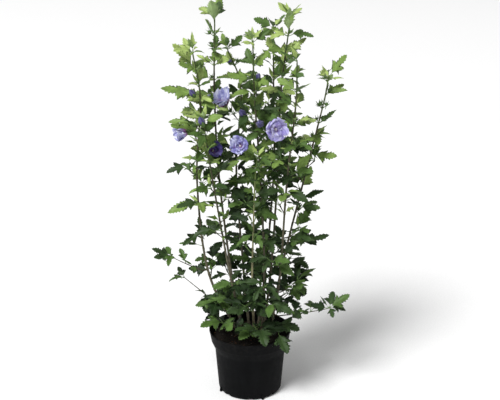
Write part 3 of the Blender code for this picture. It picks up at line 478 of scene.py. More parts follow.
def path_length(path):
    return sum((b - a).length for a, b in zip(path, path[1:]))


def heading(azimuth, rise):
    return Vector((math.cos(azimuth) * math.cos(rise), math.sin(azimuth) * math.cos(rise), math.sin(rise)))


def azimuth_of(direction):
    return math.atan2(direction.y, direction.x)


def crown_share(height):
    """0 at the pot's rim and 1 at the crown's top."""
    return (height - POT_HEIGHT) / (CROWN_TOP - POT_HEIGHT)


def distance_to_path(point, path):
    best = 1.0
    for start, end in zip(path, path[1:]):
        edge = end - start
        t = max(0.0, min(1.0, (point - start).dot(edge) / edge.length_squared))
        best = min(best, (point - start - edge * t).length)
    return best


def facing(direction, centre, scale=(1, 1, 1)):
    """A placement whose +Z looks along the direction."""
    turn = UP.rotation_difference(direction.normalized()).to_matrix().to_4x4()
    return Matrix.Translation(centre) @ turn @ Matrix.Diagonal((*scale, 1))


# --- Plain solids that the rule tests new growth against ---


def linked(name, data):
    """A new object in the scene."""
    ob = bpy.data.objects.new(name, data)
    bpy.context.scene.collection.objects.link(ob)
    return ob


def evaluated_mesh(ob):
    graph = bpy.context.evaluated_depsgraph_get()
    return bpy.data.meshes.new_from_object(ob.evaluated_get(graph))


def stem_solid(path, radii):
    """The plain four-sided tube of a stem, as a bmesh."""
    curve = bpy.data.curves.new("stem", "CURVE")
    curve.dimensions = "3D"
    curve.bevel_depth = 1.0
    curve.bevel_resolution = 0
    curve.use_fill_caps = True
    spline = curve.splines.new("POLY")
    spline.points.add(len(path) - 1)
    for point, place, radius in zip(spline.points, path, radii):
        point.co = (*place, 1)
        point.radius = radius
    ob = linked("stem", curve)
    mesh = evaluated_mesh(ob)
    bpy.data.objects.remove(ob)
    bpy.data.curves.remove(curve)
    bm = bmesh.new()
    bm.from_mesh(mesh)
    bpy.data.meshes.remove(mesh)
    return bm


def closed_cone(bm, sides, foot, top, depth, matrix):
    """Adds a closed cone or prism to bm and returns its points."""
    sizes = {"radius1": foot, "radius2": top, "depth": depth}
    return bmesh.ops.create_cone(bm, cap_ends=True, segments=sides, matrix=matrix, **sizes)["verts"]


def cone_between(start, end, start_radius, end_radius, sides):
    """A closed cone or prism from one point to another."""
    axis = end - start
    bm = bmesh.new()
    closed_cone(bm, sides, start_radius, end_radius, axis.length, facing(axis, (start + end) / 2))
    return bm


Leaf = namedtuple("Leaf", "root azimuth rise droop roll petiole blade")


def leaf_line(leaf):
    """The leaf's midrib (root, blade base, lobes, apex) and the vector across it."""
    stalk = heading(leaf.azimuth, leaf.rise)
    near = heading(leaf.azimuth, (leaf.rise + leaf.droop) / 2)
    far = heading(leaf.azimuth, leaf.droop)
    base = leaf.root + stalk * leaf.petiole
    lobe = base + near * leaf.blade * LOBE_AT
    apex = lobe + far * leaf.blade * (1 - LOBE_AT)
    level = Vector((-math.sin(leaf.azimuth), math.cos(leaf.azimuth), 0))
    return (leaf.root, base, lobe, apex), Matrix.Rotation(leaf.roll, 3, near) @ level


def is_shown(opening, point):
    """True if the point shows in an opening."""
    shown = EYE + (point - EYE) * (EYE.y / (EYE.y - point.y))
    across = (shown.x - opening.x) / opening.half_width
    up = (shown.z - opening.z) / opening.half_height
    return across**2 + up**2 < 1


def blade_points(leaf):
    """The leaf's lobes, the middle of its outer half, and its apex."""
    _, _, lobes, apex = leaf_line(leaf)[0]
    return lobes, lobes.lerp(apex, 0.5), apex


def flower_faces():
    """Each flower's round face as it shows from EYE, and how far back it stands."""
    for bloom in BLOOMS:
        if bloom.kind == "flower":
            depth = bloom.centre[1]
            centre = EYE + (Vector(bloom.centre) - EYE) * (EYE.y / (EYE.y - depth))
            yield Opening(centre.x, centre.z, bloom.width * FACE_HALF, bloom.width * FACE_HALF), depth


def hides_flower(leaf):
    """True if the leaf would stand before a flower as it shows from EYE."""
    points = blade_points(leaf)
    return any(p.y < depth and is_shown(face, p) for face, depth in flower_faces() for p in points)


def closes_opening(leaf):
    """True if the leaf's blade would close one of the crown's openings."""
    points = blade_points(leaf)
    return any(is_shown(opening, point) for opening in OPENINGS for point in points)


def leaf_solid(leaf, pad=0.0, blade_only=False):
    """The plain leaf: a loft of thin three-cornered sections from a point in the twig to the apex."""
    places, side = leaf_line(leaf)
    halves = (PETIOLE_HALF, LEAF_HALF_WIDTH * leaf.blade)
    bm = bmesh.new()
    rings = []
    for k in (1, 2):
        ahead = (places[k + 1] - places[k - 1]).normalized()
        across = (side - ahead * side.dot(ahead)).normalized()
        over = ahead.cross(across)
        over *= math.copysign(1, over.z)
        half = halves[k - 1] + pad
        top = places[k] + over * pad
        ring = top - across * half, top + across * half, places[k] - over * (LEAF_THICKNESS + pad)
        rings.append([bm.verts.new(place) for place in ring])
    apex = bm.verts.new(places[3] + (places[3] - places[2]).normalized() * pad)
    for k in range(3):
        bm.faces.new((rings[0][k], rings[0][k - 1], rings[1][k - 1], rings[1][k]))
        bm.faces.new((rings[1][k], rings[1][k - 1], apex))
    if blade_only:
        bm.faces.new(rings[0])
    else:
        root = bm.verts.new(leaf.root)
        for k in range(3):
            bm.faces.new((rings[0][k - 1], rings[0][k], root))
    bmesh.ops.recalc_face_normals(bm, faces=bm.faces)
    bmesh.ops.triangulate(bm, faces=bm.faces)
    return bm


def bloom_solids(kind, centre, faces, width):
    """A flower's cup with its petalled edge and the ruffle in it, or a bud."""
    if kind == "bud":
        bud = bmesh.new()
        place = facing(faces, centre, (1, 1, 1.6))
        bmesh.ops.create_icosphere(bud, subdivisions=1, radius=width / 2, matrix=place)
        return [bud]
    radius = width / 2
    depth = width * 0.34
    parts = []
    for segments, foot, top, deep, lift, turn, pull, rise in (
        (PETALS, 0.16, 1.00, depth, -depth / 4, 0, 0.84, 0.10),
        (PETALS - 4, 0.22, 0.52, depth * 0.60, depth * 0.12, 0.2, 0.66, 0),
    ):
        bm = bmesh.new()
        place = Matrix.Translation((0, 0, lift)) @ Matrix.Rotation(turn, 4, "Z")
        made = closed_cone(bm, segments, radius * foot, radius * top, deep, place)
        rim = [v for v in made if v.co.z > max(0, lift)]
        rim.sort(key=lambda v: math.atan2(v.co.y, v.co.x))
        if rise:
            front = next(f for f in bm.faces if all(v in rim for v in f.verts))
            bmesh.ops.poke(bm, faces=[front])["verts"][0].co.z = -depth * 0.10
        for v in rim[::2]:
            v.co = Vector((v.co.x * pull, v.co.y * pull, v.co.z + depth * rise))
        bmesh.ops.transform(bm, matrix=facing(faces, centre), verts=bm.verts)
        parts.append(bm)
    return parts


# --- The room each mass has ---


def corners(bm):
    low = [min(v.co[k] for v in bm.verts) for k in range(3)]
    high = [max(v.co[k] for v in bm.verts) for k in range(3)]
    return low, high


class Room:
    """What stands where, so that a new twig or leaf can be tested against it."""

    def __init__(self):
        self.solids = []  # (owner, kind, tree, low corner, high corner)
        self.axes = {}  # owner -> path

    def add(self, owner, kind, bm):
        low, high = corners(bm)
        self.solids.append((owner, kind, BVHTree.FromBMesh(bm), low, high))

    def add_node(self, name):
        bm = bmesh.new()
        bm.from_mesh(NODES[name].data)
        self.add(name, "limb", bm)
        bm.free()

    def is_free(self, owner, bm, own=False):
        """True if bm touches no other owner's solid, or with own, none of the owner's blades."""
        low, high = corners(bm)
        tree = None
        for other, kind, solid, other_low, other_high in self.solids:
            if (other == owner) != own or (own and kind != "blade"):
                continue
            if any(low[k] > other_high[k] or high[k] < other_low[k] for k in range(3)):
                continue
            tree = tree or BVHTree.FromBMesh(bm)
            if tree.overlap(solid):
                return False
        return True

    def in_own_space(self, owner, point):
        own = distance_to_path(point, self.axes[owner])
        others = (distance_to_path(point, path) for name, path in self.axes.items() if name != owner)
        return own < REACH and min(others) > min(own - SHARED_SPACE, NEAREST_STEM)


# --- One mass of foliage ---

Node = namedtuple("Node", "root azimuth kind")  # where something grows: on a stem, spur, shoot or tip


class Mass:
    """A stem with the spurs, leaves, buds and flowers that grow on it."""

    def __init__(self, name, path, radii, room, index):
        self.name = name
        self.path = path
        self.radii = radii
        self.room = room
        self.draw = random.Random(MASS_SEED + index)
        self.fine_draw = random.Random(FINE_SEED + index)
        self.leaves = []  # (leaf, young or not)
        self.spurs = []  # (foot, end)
        self.stalks = []  # a flower's or bud's stalk: (root, bend, end)
        self.nodes = []
        self.green_buds = []  # (root, direction, size)
        self.turn = self.draw.uniform(0, math.tau)

    def letter(self):
        return SHOOTS[self.name].cane if self.name in SHOOTS else self.name.split("_")[1]

    def take(self, bm, kind="twig"):
        self.room.add(self.name, kind, bm)
        bm.free()

    def is_clear(self, solid):
        """True if the solid touches nothing of another mass and no blade of this one."""
        return self.room.is_free(self.name, solid) and self.room.is_free(self.name, solid, own=True)

    def try_leaf(self, leaf, young=False):
        """Grows the leaf if it keeps to the mass's space, touches nothing and crosses no sister."""
        places, _ = leaf_line(leaf)
        if not self.room.in_own_space(self.name, places[2]) or places[3].z < SOIL_TOP + LEAF_OVER_SOIL:
            return False
        whole = leaf_solid(leaf, CLEAR)
        blade = leaf_solid(leaf, CLEAR / 2, blade_only=True)
        fits = self.room.is_free(self.name, whole) and self.room.is_free(self.name, blade, own=True)
        whole.free()
        blade.free()
        if not fits:
            return False
        self.take(leaf_solid(leaf, blade_only=True), "blade")
        self.take(leaf_solid(leaf), "leaf")
        self.leaves.append((leaf, young))
        return True

    def leaf_near(self, root, azimuth, size):
        """Tries the wanted direction first, then turns further and further away from it."""
        draw = self.draw
        height = crown_share(root.z)
        size *= LOW_SIZE + (1 - LOW_SIZE) * height
        blade = (LEAF_LENGTH[0] + (LEAF_LENGTH[1] - LEAF_LENGTH[0]) * draw.random()) * size
        petiole = (PETIOLE[0] + (PETIOLE[1] - PETIOLE[0]) * draw.random()) * size
        rise = math.radians(draw.uniform(*LEAF_RISE))
        lift = TOP_LIFT * height**2 + LIGHT_LIFT * max(0, math.sin(azimuth))
        droop = math.radians(draw.uniform(*LEAF_DROOP) + lift)
        roll = math.radians(draw.uniform(-LEAF_ROLL, LEAF_ROLL) + LIGHT_TURN * math.cos(azimuth))
        for turn in LEAF_TURNS:
            bearing = azimuth + math.radians(turn)
            for drop in LEAF_DROPS:
                leaf = Leaf(root, bearing, rise, droop + math.radians(drop), roll, petiole, blade)
                if not closes_opening(leaf) and self.try_leaf(leaf):
                    return

    def spur(self, distance, azimuth, size):
        """A short side twig with a knob at its end and a rosette of leaves on it."""
        foot, _ = along(self.path, distance)
        for turn in SPUR_TURNS:
            bearing = azimuth + math.radians(turn)
            end = foot + heading(bearing, SPUR_RISE) * SPUR_LENGTH * size
            test = cone_between(foot, end, SPUR_RADIUS + CLEAR, SPUR_END_RADIUS + CLEAR, 6)
            free = self.is_clear(test)
            test.free()
            if not free:
                continue
            self.take(cone_between(foot, end, SPUR_RADIUS, SPUR_END_RADIUS, 3))
            self.spurs.append((foot, end))
            root = end - (end - foot).normalized() * SPUR_ROOT
            for k in range(SPUR_LEAVES):
                self.leaf_near(root, bearing + FAN * (k - (SPUR_LEAVES - 1) / 2), size)
            self.nodes.append(Node(root, bearing, "spur"))
            return

    def reaching_leaf(self, tip, leaf_length):
        """A leaf that runs from a part of the stem in reach to the given tip."""
        tip = Vector(tip)
        length = path_length(self.path)
        spots = [along(self.path, length * k / 20)[0] for k in range(2, 20)]
        root = min(spots, key=lambda p: abs((tip - p).length - leaf_length) + max(0, p.z - tip.z))
        reach = tip - root
        blade = min(LEAF_LENGTH[1] * 1.05, reach.length * 0.78)
        azimuth, angle = azimuth_of(reach), math.asin(reach.z / reach.length)
        roll = math.radians(LIGHT_TURN) * math.cos(azimuth)
        self.try_leaf(Leaf(root, azimuth, angle, angle, roll, reach.length - blade, blade))

    def bloom(self, bloom):
        """A flower or a bud at its place, on a stalk from the nearest part of the stem below it."""
        centre, faces = Vector(bloom.centre), Vector(bloom.faces).normalized()
        back = centre - faces * bloom.width * BLOOM_BACK
        length = path_length(self.path)
        spots = [along(self.path, length * k / 24)[0] for k in range(25)]
        root = min(spots, key=lambda p: (p - back).length + 0.6 * max(0, p.z - back.z + 0.015))
        for bm in bloom_solids(bloom.kind, centre, faces, bloom.width):
            self.take(bm, "blade")
        elbow = root.lerp(back, 0.5) + UP * 0.004
        self.take(cone_between(root, elbow, PEDUNCLE_RADIUS * 1.1, PEDUNCLE_RADIUS * 1.1, 3))
        into = elbow + (back - elbow) * 1.06 + faces * 0.002
        start = elbow - (back - elbow).normalized() * 0.001
        self.take(cone_between(start, into, PEDUNCLE_RADIUS, PEDUNCLE_RADIUS * 1.5, 3))
        self.stalks.append((root, elbow, into))

    # The finer growth

    def finer_leaf(self, root, azimuth, blade, rise, droop, young):
        """A smaller leaf near the wanted direction, if there is room for one."""
        roll = math.radians(self.fine_draw.uniform(-LEAF_ROLL, LEAF_ROLL) + LIGHT_TURN * math.cos(azimuth))
        rise = math.radians(rise)
        droop = math.radians(droop + LIGHT_LIFT * max(0, math.sin(azimuth)))
        for turn in TRIES:
            leaf = Leaf(root, azimuth + math.radians(turn), rise, droop, roll, blade * FINE_PETIOLE, blade)
            if not closes_opening(leaf) and not hides_flower(leaf) and self.try_leaf(leaf, young):
                return

    def grow_second(self):
        """Second leaves at every node below the tips, level with the first or below them."""
        draw = self.fine_draw
        for node in self.nodes:
            if node.kind == "tip" or self.name in BUDS_AT_NODE:
                continue
            wanted = next(number for height, number in SECOND_LEAVES if node.root.z >= height)
            for k in range(int(wanted + draw.random())):
                azimuth = node.azimuth + math.pi + TURN * k + draw.uniform(-0.5, 0.5)
                rise, droop = draw.uniform(*SECOND_RISE), draw.uniform(*SECOND_DROOP)
                self.finer_leaf(node.root, azimuth, draw.uniform(*SECOND_LENGTH), rise, droop, False)

    def grow_young(self):
        """Young leaves at every node, and green buds in the axils high in the crown."""
        draw = self.fine_draw
        for node in self.nodes:
            for _ in range(BUDS_AT_NODE.get(self.name, 1)):
                if node.kind != "tip" and node.root.z > LOWEST_BUD and draw.random() < BUD_CHANCE:
                    self.try_green_bud(node)
            for k in range(YOUNG_LEAVES[node.kind]):
                azimuth = node.azimuth + TURN * (k + 0.5) + draw.uniform(-0.4, 0.4)
                lift, growth = (TIP_LIFT, TIP_GROWTH) if node.kind == "tip" else (0, 1)
                blade = draw.uniform(*YOUNG_LENGTH) * growth
                rise, droop = draw.uniform(*YOUNG_RISE), draw.uniform(*YOUNG_DROOP)
                self.finer_leaf(node.root, azimuth, blade, rise + lift, droop + lift, True)

    def try_green_bud(self, node):
        draw = self.fine_draw
        azimuth = node.azimuth + draw.choice((-1, 1)) * draw.uniform(0.5, 1.2)
        direction = heading(azimuth, math.radians(draw.uniform(*BUD_RISE)))
        size = draw.uniform(*BUD_SIZE)
        near, far, near_radius, far_radius = BUD_ROOM
        end = node.root + direction * far * size
        test = cone_between(node.root + direction * near, end, near_radius, far_radius, 6)
        if self.is_clear(test):
            self.take(test, "blade")
            self.green_buds.append((node.root, direction, size))
        else:
            test.free()


# --- Canes, crowns and sprays ---


def limb_split(path, tip_height):
    """How far along its path a cane's crown mass takes over."""
    split_height = SOIL_TOP + (tip_height - SOIL_TOP) * LIMB_SHARE
    distance = 0.0
    for start, end in zip(path, path[1:]):
        if end.z >= split_height:
            return distance + (end - start).length * (split_height - start.z) / (end.z - start.z)
        distance += (end - start).length
    return distance


def cut_path(path, start, end):
    """The stretch of a path between two distances along it."""
    points = [along(path, start)[0]]
    travelled = 0.0
    for before, after in zip(path, path[1:]):
        travelled += (after - before).length
        if start + 0.004 < travelled < end - 0.004:
            points.append(after.copy())
    points.append(along(path, end)[0])
    return points


def plan_canes(room):
    """The ten limbs. Returns the crown stems that grow on from them."""
    crowns = {}
    for letter, cane in CANES.items():
        path = cane_path(cane)
        split = limb_split(path, cane.tip[2])
        limb = cut_path(path, 0, split)
        room.add_node("cane_" + letter)
        room.axes["cane_" + letter] = limb
        direction = (limb[-1] - limb[-2]).normalized()
        stem = cut_path(path, split, path_length(path))
        stem[0] = limb[-1] + direction * GAP
        stem.insert(1, limb[-1] + direction * 0.010)
        crowns["crown_" + letter] = stem
    return crowns


def spray_path(cane_solid, foot, foot_axis, tip):
    """A side stem that leaves the cane square to its surface, then turns up towards the tip."""
    out = tip - foot
    out = (out - foot_axis * out.dot(foot_axis)).normalized()
    place, normal, _, _ = cane_solid.ray_cast(foot + out * 0.03, -out)
    start = place + normal * GAP
    middle = start.lerp(tip, 0.6) - UP * SPRAY_SAG
    return smooth_path([start, start + normal * SPRAY_STUB, middle, tip], SPRAY_STEP)


def roomiest_tip(room, foot, length, outward, index):
    """Where a spray's tip has the most room, out of the azimuths on its side of the cane."""
    best = None
    for step in range(-5, 6):
        azimuth = outward + math.radians(18 * step) + TURN * index
        tip = foot + heading(azimuth, math.atan(SPRAY_RISE)) * length
        spare = min(distance_to_path(tip, path) for path in room.axes.values())
        if best is None or spare > best[0]:
            best = (spare, tip)
    return best[1]


def plan_sprays(room):
    """Every side spray's name, cane, height and tip (None for one that looks for room)."""
    plans = [(name, s.cane, s.height, Vector(s.tip), 0) for name, s in SHOOTS.items()]
    for k in range(SPRAYS_PER_CANE):
        for number, letter in enumerate(CANES):
            if k == SPRAYS_PER_CANE - 1 and letter in SHORT_CANES:
                continue
            top = room.axes["cane_" + letter][-1].z - 0.03
            share = (k + 0.1 + 0.2 * (number * 3 % 5)) / SPRAYS_PER_CANE
            height = LOWEST_SPRAY + (top - LOWEST_SPRAY) * share
            plans.append((f"spray_{letter}_{k + 1}", letter, height, None, k))
    return plans


def point_at_height(path, height):
    for start, end in zip(path, path[1:]):
        if start.z <= height <= end.z:
            return start.lerp(end, (height - start.z) / (end.z - start.z)), (end - start).normalized()
    return path[-1], (path[-1] - path[-2]).normalized()


def plan_masses(room, crowns):
    """The stems of all masses, placed before any leaf so that leaves can keep clear of them."""
    stems = dict(crowns)
    room.axes.update(crowns)
    trees = {owner: tree for owner, kind, tree, _, _ in room.solids if kind == "limb"}
    for number, (name, letter, height, tip, k) in enumerate(plan_sprays(room)):
        foot, axis = point_at_height(room.axes["cane_" + letter], height)
        if tip is None:
            outward = azimuth_of(foot - CROWN_MIDDLE)
            tip = roomiest_tip(room, foot, SPRAY_LENGTHS[k], outward, number % 3)
        room.axes[name] = stems[name] = spray_path(trees["cane_" + letter], foot, axis, tip)
    return stems


def stem_radii(name, path):
    if name.startswith("crown"):
        tip_height = CANES[name[-1]].tip[2]
        return [cane_radius(p.z, tip_height) for p in path]
    count = len(path) - 1
    foot, tip = SPRAY_RADII
    return [foot + (tip - foot) * k / count for k in range(count + 1)]


def dress_crown(mass):
    """Spurs on the older wood, single leaves above, and a tuft at the tip."""
    length = path_length(mass.path)
    distance = CROWN_FIRST_NODE
    number = 0
    while distance < length - CROWN_STEP * 0.6:
        share = distance / length
        azimuth = mass.turn + TURN * number
        size = 1.0 - CROWN_SHRINK * share
        root, _ = along(mass.path, distance)
        if share < SPUR_SHARE:
            mass.spur(distance, azimuth, size)
        else:
            mass.leaf_near(root, azimuth, size)
            mass.leaf_near(root, azimuth + OPPOSITE_LEAF[0], size * OPPOSITE_LEAF[1])
        mass.nodes.append(Node(root, azimuth, "stem"))
        distance += CROWN_STEP * (1.0 - CROWN_CLOSER * share)
        number += 1
    tip, _ = along(mass.path, length - 0.004)
    for k in range(TUFT_LEAVES):
        mass.leaf_near(tip, mass.turn + TURN * (number + k), TUFT_SIZE)
    mass.nodes.append(Node(tip, mass.turn, "tip"))


def dress_spray(mass):
    """Leaves along a side shoot, in twos, and three at its end."""
    length = path_length(mass.path)
    wanted, size = LEAVES_PER_SPRAY, 1.0
    if mass.name in SHOOTS:
        wanted, size = SHOOTS[mass.name].leaves, SHOOTS[mass.name].size
    tip, _ = along(mass.path, length - 0.003)
    ahead = azimuth_of(mass.path[-1] - mass.path[0])
    for k in range(TUFT_LEAVES):
        mass.leaf_near(tip, ahead + FAN * (k - (TUFT_LEAVES - 1) / 2), size)
    side_leaves = wanted - TUFT_LEAVES
    for k in range(side_leaves):
        root, _ = along(mass.path, length * (0.35 + 0.45 * k / max(1, side_leaves)))
        mass.leaf_near(root, ahead + FAN * (-1) ** k + 0.3 * mass.draw.uniform(-1, 1), size)
        mass.nodes.append(Node(root, ahead - FAN * (-1) ** k, "shoot"))
    mass.nodes.append(Node(tip, ahead, "shoot"))


def grow():
    """Every mass of the plant, dressed by the rule."""
    room = Room()
    for name in ("pot", "potting_soil"):
        room.add_node(name)
    masses = {}
    for index, (name, path) in enumerate(plan_masses(room, plan_canes(room)).items()):
        radii = stem_radii(name, path)
        stem = stem_solid(path, radii)
        room.add(name, "limb", stem)
        stem.free()
        masses[name] = Mass(name, path, radii, room, index)
    for bloom in BLOOMS:
        masses[bloom.mass].bloom(bloom)
    for name, tip, leaf_length in REACHING_LEAVES:
        masses[name].reaching_leaf(tip, leaf_length)
    for mass in masses.values():
        dress = dress_crown if mass.name.startswith("crown") else dress_spray
        dress(mass)
    for mass in masses.values():
        mass.grow_second()
    for mass in masses.values():
        mass.grow_young()
    return masses


# --- Materials ---


def node(tree, kind, settings=None, **inputs):
    """A shader node. An input is a value, or another node's socket."""
    made = tree.nodes.new("ShaderNode" + kind)
    for name, value in (settings or {}).items():
        setattr(made, name, value)
    for name, value in inputs.items():
        socket = made.inputs[name.replace("_", " ")]
        if isinstance(value, bpy.types.NodeSocket):
            tree.links.new(value, socket)
        else:
            socket.default_value = value
    return made


def noise(tree, place, scale, detail=3.0, stretch=(1, 1, 1)):
    """Noise from 0 to 1. scale is in blobs per metre, and stretch divides it along each axis."""
    mapped = node(tree, "Mapping", Vector=place, Scale=[1 / s for s in stretch])
    return node(tree, "TexNoise", Vector=mapped.outputs[0], Scale=scale, Detail=detail).outputs[0]


def ramp(tree, factor, stops):
    """A colour ramp through (position, colour) stops."""
    made = node(tree, "ValToRGB", Fac=factor)
    elements = made.color_ramp.elements
    while len(elements) < len(stops):
        elements.new(0.5)
    for element, (position, colour) in zip(elements, stops):
        element.position = position
        element.color = (*colour, 1)
    return made.outputs[0]


def mixed(tree, factor, first, second, way="MIX"):
    made = node(tree, "Mix", {"data_type": "RGBA", "blend_type": way})
    for socket, value in ((made.inputs[0], factor), (made.inputs[6], first), (made.inputs[7], second)):
        if isinstance(value, bpy.types.NodeSocket):
            tree.links.new(value, socket)
        elif socket.type == "RGBA":
            socket.default_value = (*value, 1)
        else:
            socket.default_value = value
    return made.outputs[2]


def shade_of(colour, factor):
    return tuple(c * factor for c in colour)


def new_material(name, roughness, specular=0.5, sheen=0.0):
    material = bpy.data.materials.new(name)
    material.use_nodes = True
    tree = material.node_tree
    shader = tree.nodes["Principled BSDF"]
    shader.inputs["Roughness"].default_value = roughness
    shader.inputs["Specular IOR Level"].default_value = specular
    shader.inputs["Sheen Weight"].default_value = sheen
    place = node(tree, "TexCoord").outputs["Object"]
    return material, tree, shader, place


def surfaced(tree, shader, colour, height, strength, distance):
    """Gives the shader its colour, and a bump from the height."""
    bump = node(tree, "Bump", Height=height, Strength=strength, Distance=distance)
    tree.links.new(colour, shader.inputs["Base Color"])
    tree.links.new(bump.outputs[0], shader.inputs["Normal"])


def leaf_material(name, colour, roughness, specular):
    """Leaf skin: a broad mottle, a finer one, and a puckered surface."""
    material, tree, shader, place = new_material(name, roughness, specular)
    shades = ((0.30, shade_of(colour, 0.74)), (0.70, shade_of(colour, 1.22)))
    broad = ramp(tree, noise(tree, place, 45), shades)
    fine = ramp(tree, noise(tree, place, 420), ((0.35, (0.80, 0.82, 0.78)), (0.65, (1.12, 1.10, 1.14))))
    colour = mixed(tree, 0.6, broad, fine, "MULTIPLY")
    surfaced(tree, shader, colour, noise(tree, place, 700, 4), 0.35, 0.0006)
    return material


def bark_material(name, low, middle, tip):
    """Bark: greyer near the soil and green near the tip, with long fissures and pale lenticels.
    Reads the growth attribute: metres from the soil and metres from the tip."""
    material, tree, shader, place = new_material(name, 0.75, 0.25)
    growth = node(tree, "Attribute", {"attribute_name": "growth"}).outputs["Vector"]
    split = node(tree, "SeparateXYZ", Vector=growth)
    aged = node(tree, "MapRange", Value=split.outputs["X"], From_Max=0.55).outputs[0]
    fresh = node(tree, "MapRange", Value=split.outputs["Y"], From_Max=0.20).outputs[0]
    wood = ramp(tree, aged, ((0.05, low), (0.80, middle)))
    colour = mixed(tree, ramp(tree, fresh, ((0.25, WHITE), (0.95, BLACK))), wood, tip)
    fissures = noise(tree, place, 520, 4, (1, 1, 9))
    streaks = ramp(tree, fissures, ((0.36, (0.50, 0.48, 0.46)), (0.62, (1.20, 1.18, 1.15))))
    grained = mixed(tree, 1.0, colour, streaks, "MULTIPLY")
    lenticels = ramp(tree, noise(tree, place, 900, 1), ((0.66, BLACK), (0.72, (0.7, 0.7, 0.7))))
    speckled = mixed(tree, lenticels, grained, LENTICEL)
    surfaced(tree, shader, speckled, fissures, 0.7, 0.0010)
    return material


def twig_material(name, colour):
    material, tree, shader, place = new_material(name, 0.6, 0.3)
    streaks = noise(tree, place, 300, 3, (1, 1, 3))
    shades = ((0.3, shade_of(colour, 0.65)), (0.7, shade_of(colour, 1.3)))
    surfaced(tree, shader, ramp(tree, streaks, shades), streaks, 0.4, 0.0004)
    return material


def petal_material(name, pale, main, deep):
    """Petal: streaked from throat to edge, paler in its middle, with a coloured throat.
    Reads the petal attribute: across (-1 to 1), along (0 to 1) and the petal's number."""
    material, tree, shader, _ = new_material(name, 0.55, 0.25, 0.25)
    place = node(tree, "Attribute", {"attribute_name": "petal"}).outputs["Vector"]
    split = node(tree, "SeparateXYZ", Vector=place)
    veins = noise(tree, place, 1.0, 3, (0.10, 1.6, 0.13))
    clouds = noise(tree, place, 1.0, 2, (0.8, 0.5, 0.3))
    field = ramp(tree, clouds, ((0.36, pale), (0.52, main), (0.68, deep)))
    lined = mixed(tree, ramp(tree, veins, ((0.50, BLACK), (0.66, (0.75, 0.75, 0.75)))), field, deep)
    heart = ramp(tree, split.outputs["Y"], ((0.12, WHITE), (0.55, BLACK)))
    surfaced(tree, shader, mixed(tree, heart, lined, THROAT), veins, 0.5, 0.0008)
    return material


def plastic_material():
    """Matt black plastic, faintly dusty towards its rim, with scuffs and a moulded grain."""
    material, tree, shader, place = new_material("black_plastic", 0.62, 0.07)
    height = node(tree, "SeparateXYZ", Vector=place).outputs["Z"]
    scuffs = noise(tree, place, 26, 5, (1, 1, 2.5))
    base = ramp(tree, scuffs, ((0.35, PLASTIC[0]), (0.75, PLASTIC[1])))
    near_rim = node(tree, "MapRange", Value=height, From_Min=DUST_FROM, From_Max=POT_HEIGHT, To_Max=0.35)
    dust = node(tree, "Math", {"operation": "MULTIPLY"})
    tree.links.new(near_rim.outputs[0], dust.inputs[0])
    patches = ramp(tree, noise(tree, place, 90, 4), ((0.45, BLACK), (0.75, WHITE)))
    tree.links.new(patches, dust.inputs[1])
    rough = node(tree, "MapRange", Value=noise(tree, place, 60, 4), To_Min=0.50, To_Max=0.78)
    tree.links.new(rough.outputs[0], shader.inputs["Roughness"])
    colour = mixed(tree, dust.outputs[0], base, DUST)
    surfaced(tree, shader, colour, noise(tree, place, 1500, 2), 0.25, 0.0004)
    return material


def soil_material(name, dark, light):
    material, tree, shader, place = new_material(name, 0.95, 0.15)
    grains = noise(tree, place, 260, 6)
    surfaced(tree, shader, ramp(tree, grains, ((0.35, dark), (0.70, light))), grains, 0.9, 0.0020)
    return material


def plain_material(name, colour, roughness):
    """For the stage and the smallest parts: even but for a faint mottle."""
    material, tree, shader, place = new_material(name, roughness, 0.3)
    shades = ((0.35, shade_of(colour, 0.94)), (0.65, colour))
    tree.links.new(ramp(tree, noise(tree, place, 200), shades), shader.inputs["Base Color"])
    return material


def leaf_materials():
    """Upper side and underside of each leaf tone, then of each midrib tone."""
    made = []
    kinds = (("leaf", LEAF_TONES, LEAF_FINISH), ("midrib", MIDRIB_TONES, MIDRIB_FINISH))
    for kind, tones, (top, below) in kinds:
        for name, upper, under in tones:
            made.append(leaf_material(f"{kind}_{name}", upper, *top))
            made.append(leaf_material(f"{kind}_{name}_underside", under, *below))
    return made


# --- Meshes from arrays ---


class Joined:
    """Small shapes gathered into one mesh, each face with the number of its material."""

    def __init__(self):
        self.points, self.faces, self.looks, self.values = [], [], [], []
        self.count = 0

    def add(self, points, faces, look, values=None):
        """faces is a list of index arrays. look is one number, or one for each face."""
        for array in faces:
            self.faces += (array + self.count).tolist()
        size = sum(len(array) for array in faces)
        self.looks.append(np.broadcast_to(look, size))
        self.points.append(points)
        self.values.append(np.zeros((len(points), 3)) if values is None else values)
        self.count += len(points)

    def put(self, shape, place, look):
        """Adds a shape's points, faces and perhaps values at a place."""
        points, faces, *values = shape
        self.add(placed(points, place), faces, look, *values)

    def made(self, name, materials, attribute=None):
        mesh = bpy.data.meshes.new(name)
        mesh.from_pydata(np.concatenate(self.points).tolist(), [], self.faces)
        mesh.polygons.foreach_set("material_index", np.concatenate(self.looks).astype(np.int32))
        mesh.shade_smooth()
        for material in materials:
            mesh.materials.append(material)
        if attribute:
            values = mesh.attributes.new(attribute, "FLOAT_VECTOR", "POINT")
            values.data.foreach_set("vector", np.concatenate(self.values).ravel())
        mesh.update()
        return linked(name, mesh)


def finish_piece(ob, slot, *nodes):
    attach(ob, BODY)
    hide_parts(*nodes)


def thickened(ob, underside=0):
    """Gives open sheets their thickness, with the underside's material so many slots on."""
    solid = ob.modifiers.new("thickness", "SOLIDIFY")
    solid.thickness = SHEET
    solid.offset = -1
    solid.material_offset = underside
    return ob


def unit(vectors):
    return vectors / np.linalg.norm(vectors, axis=-1, keepdims=True)


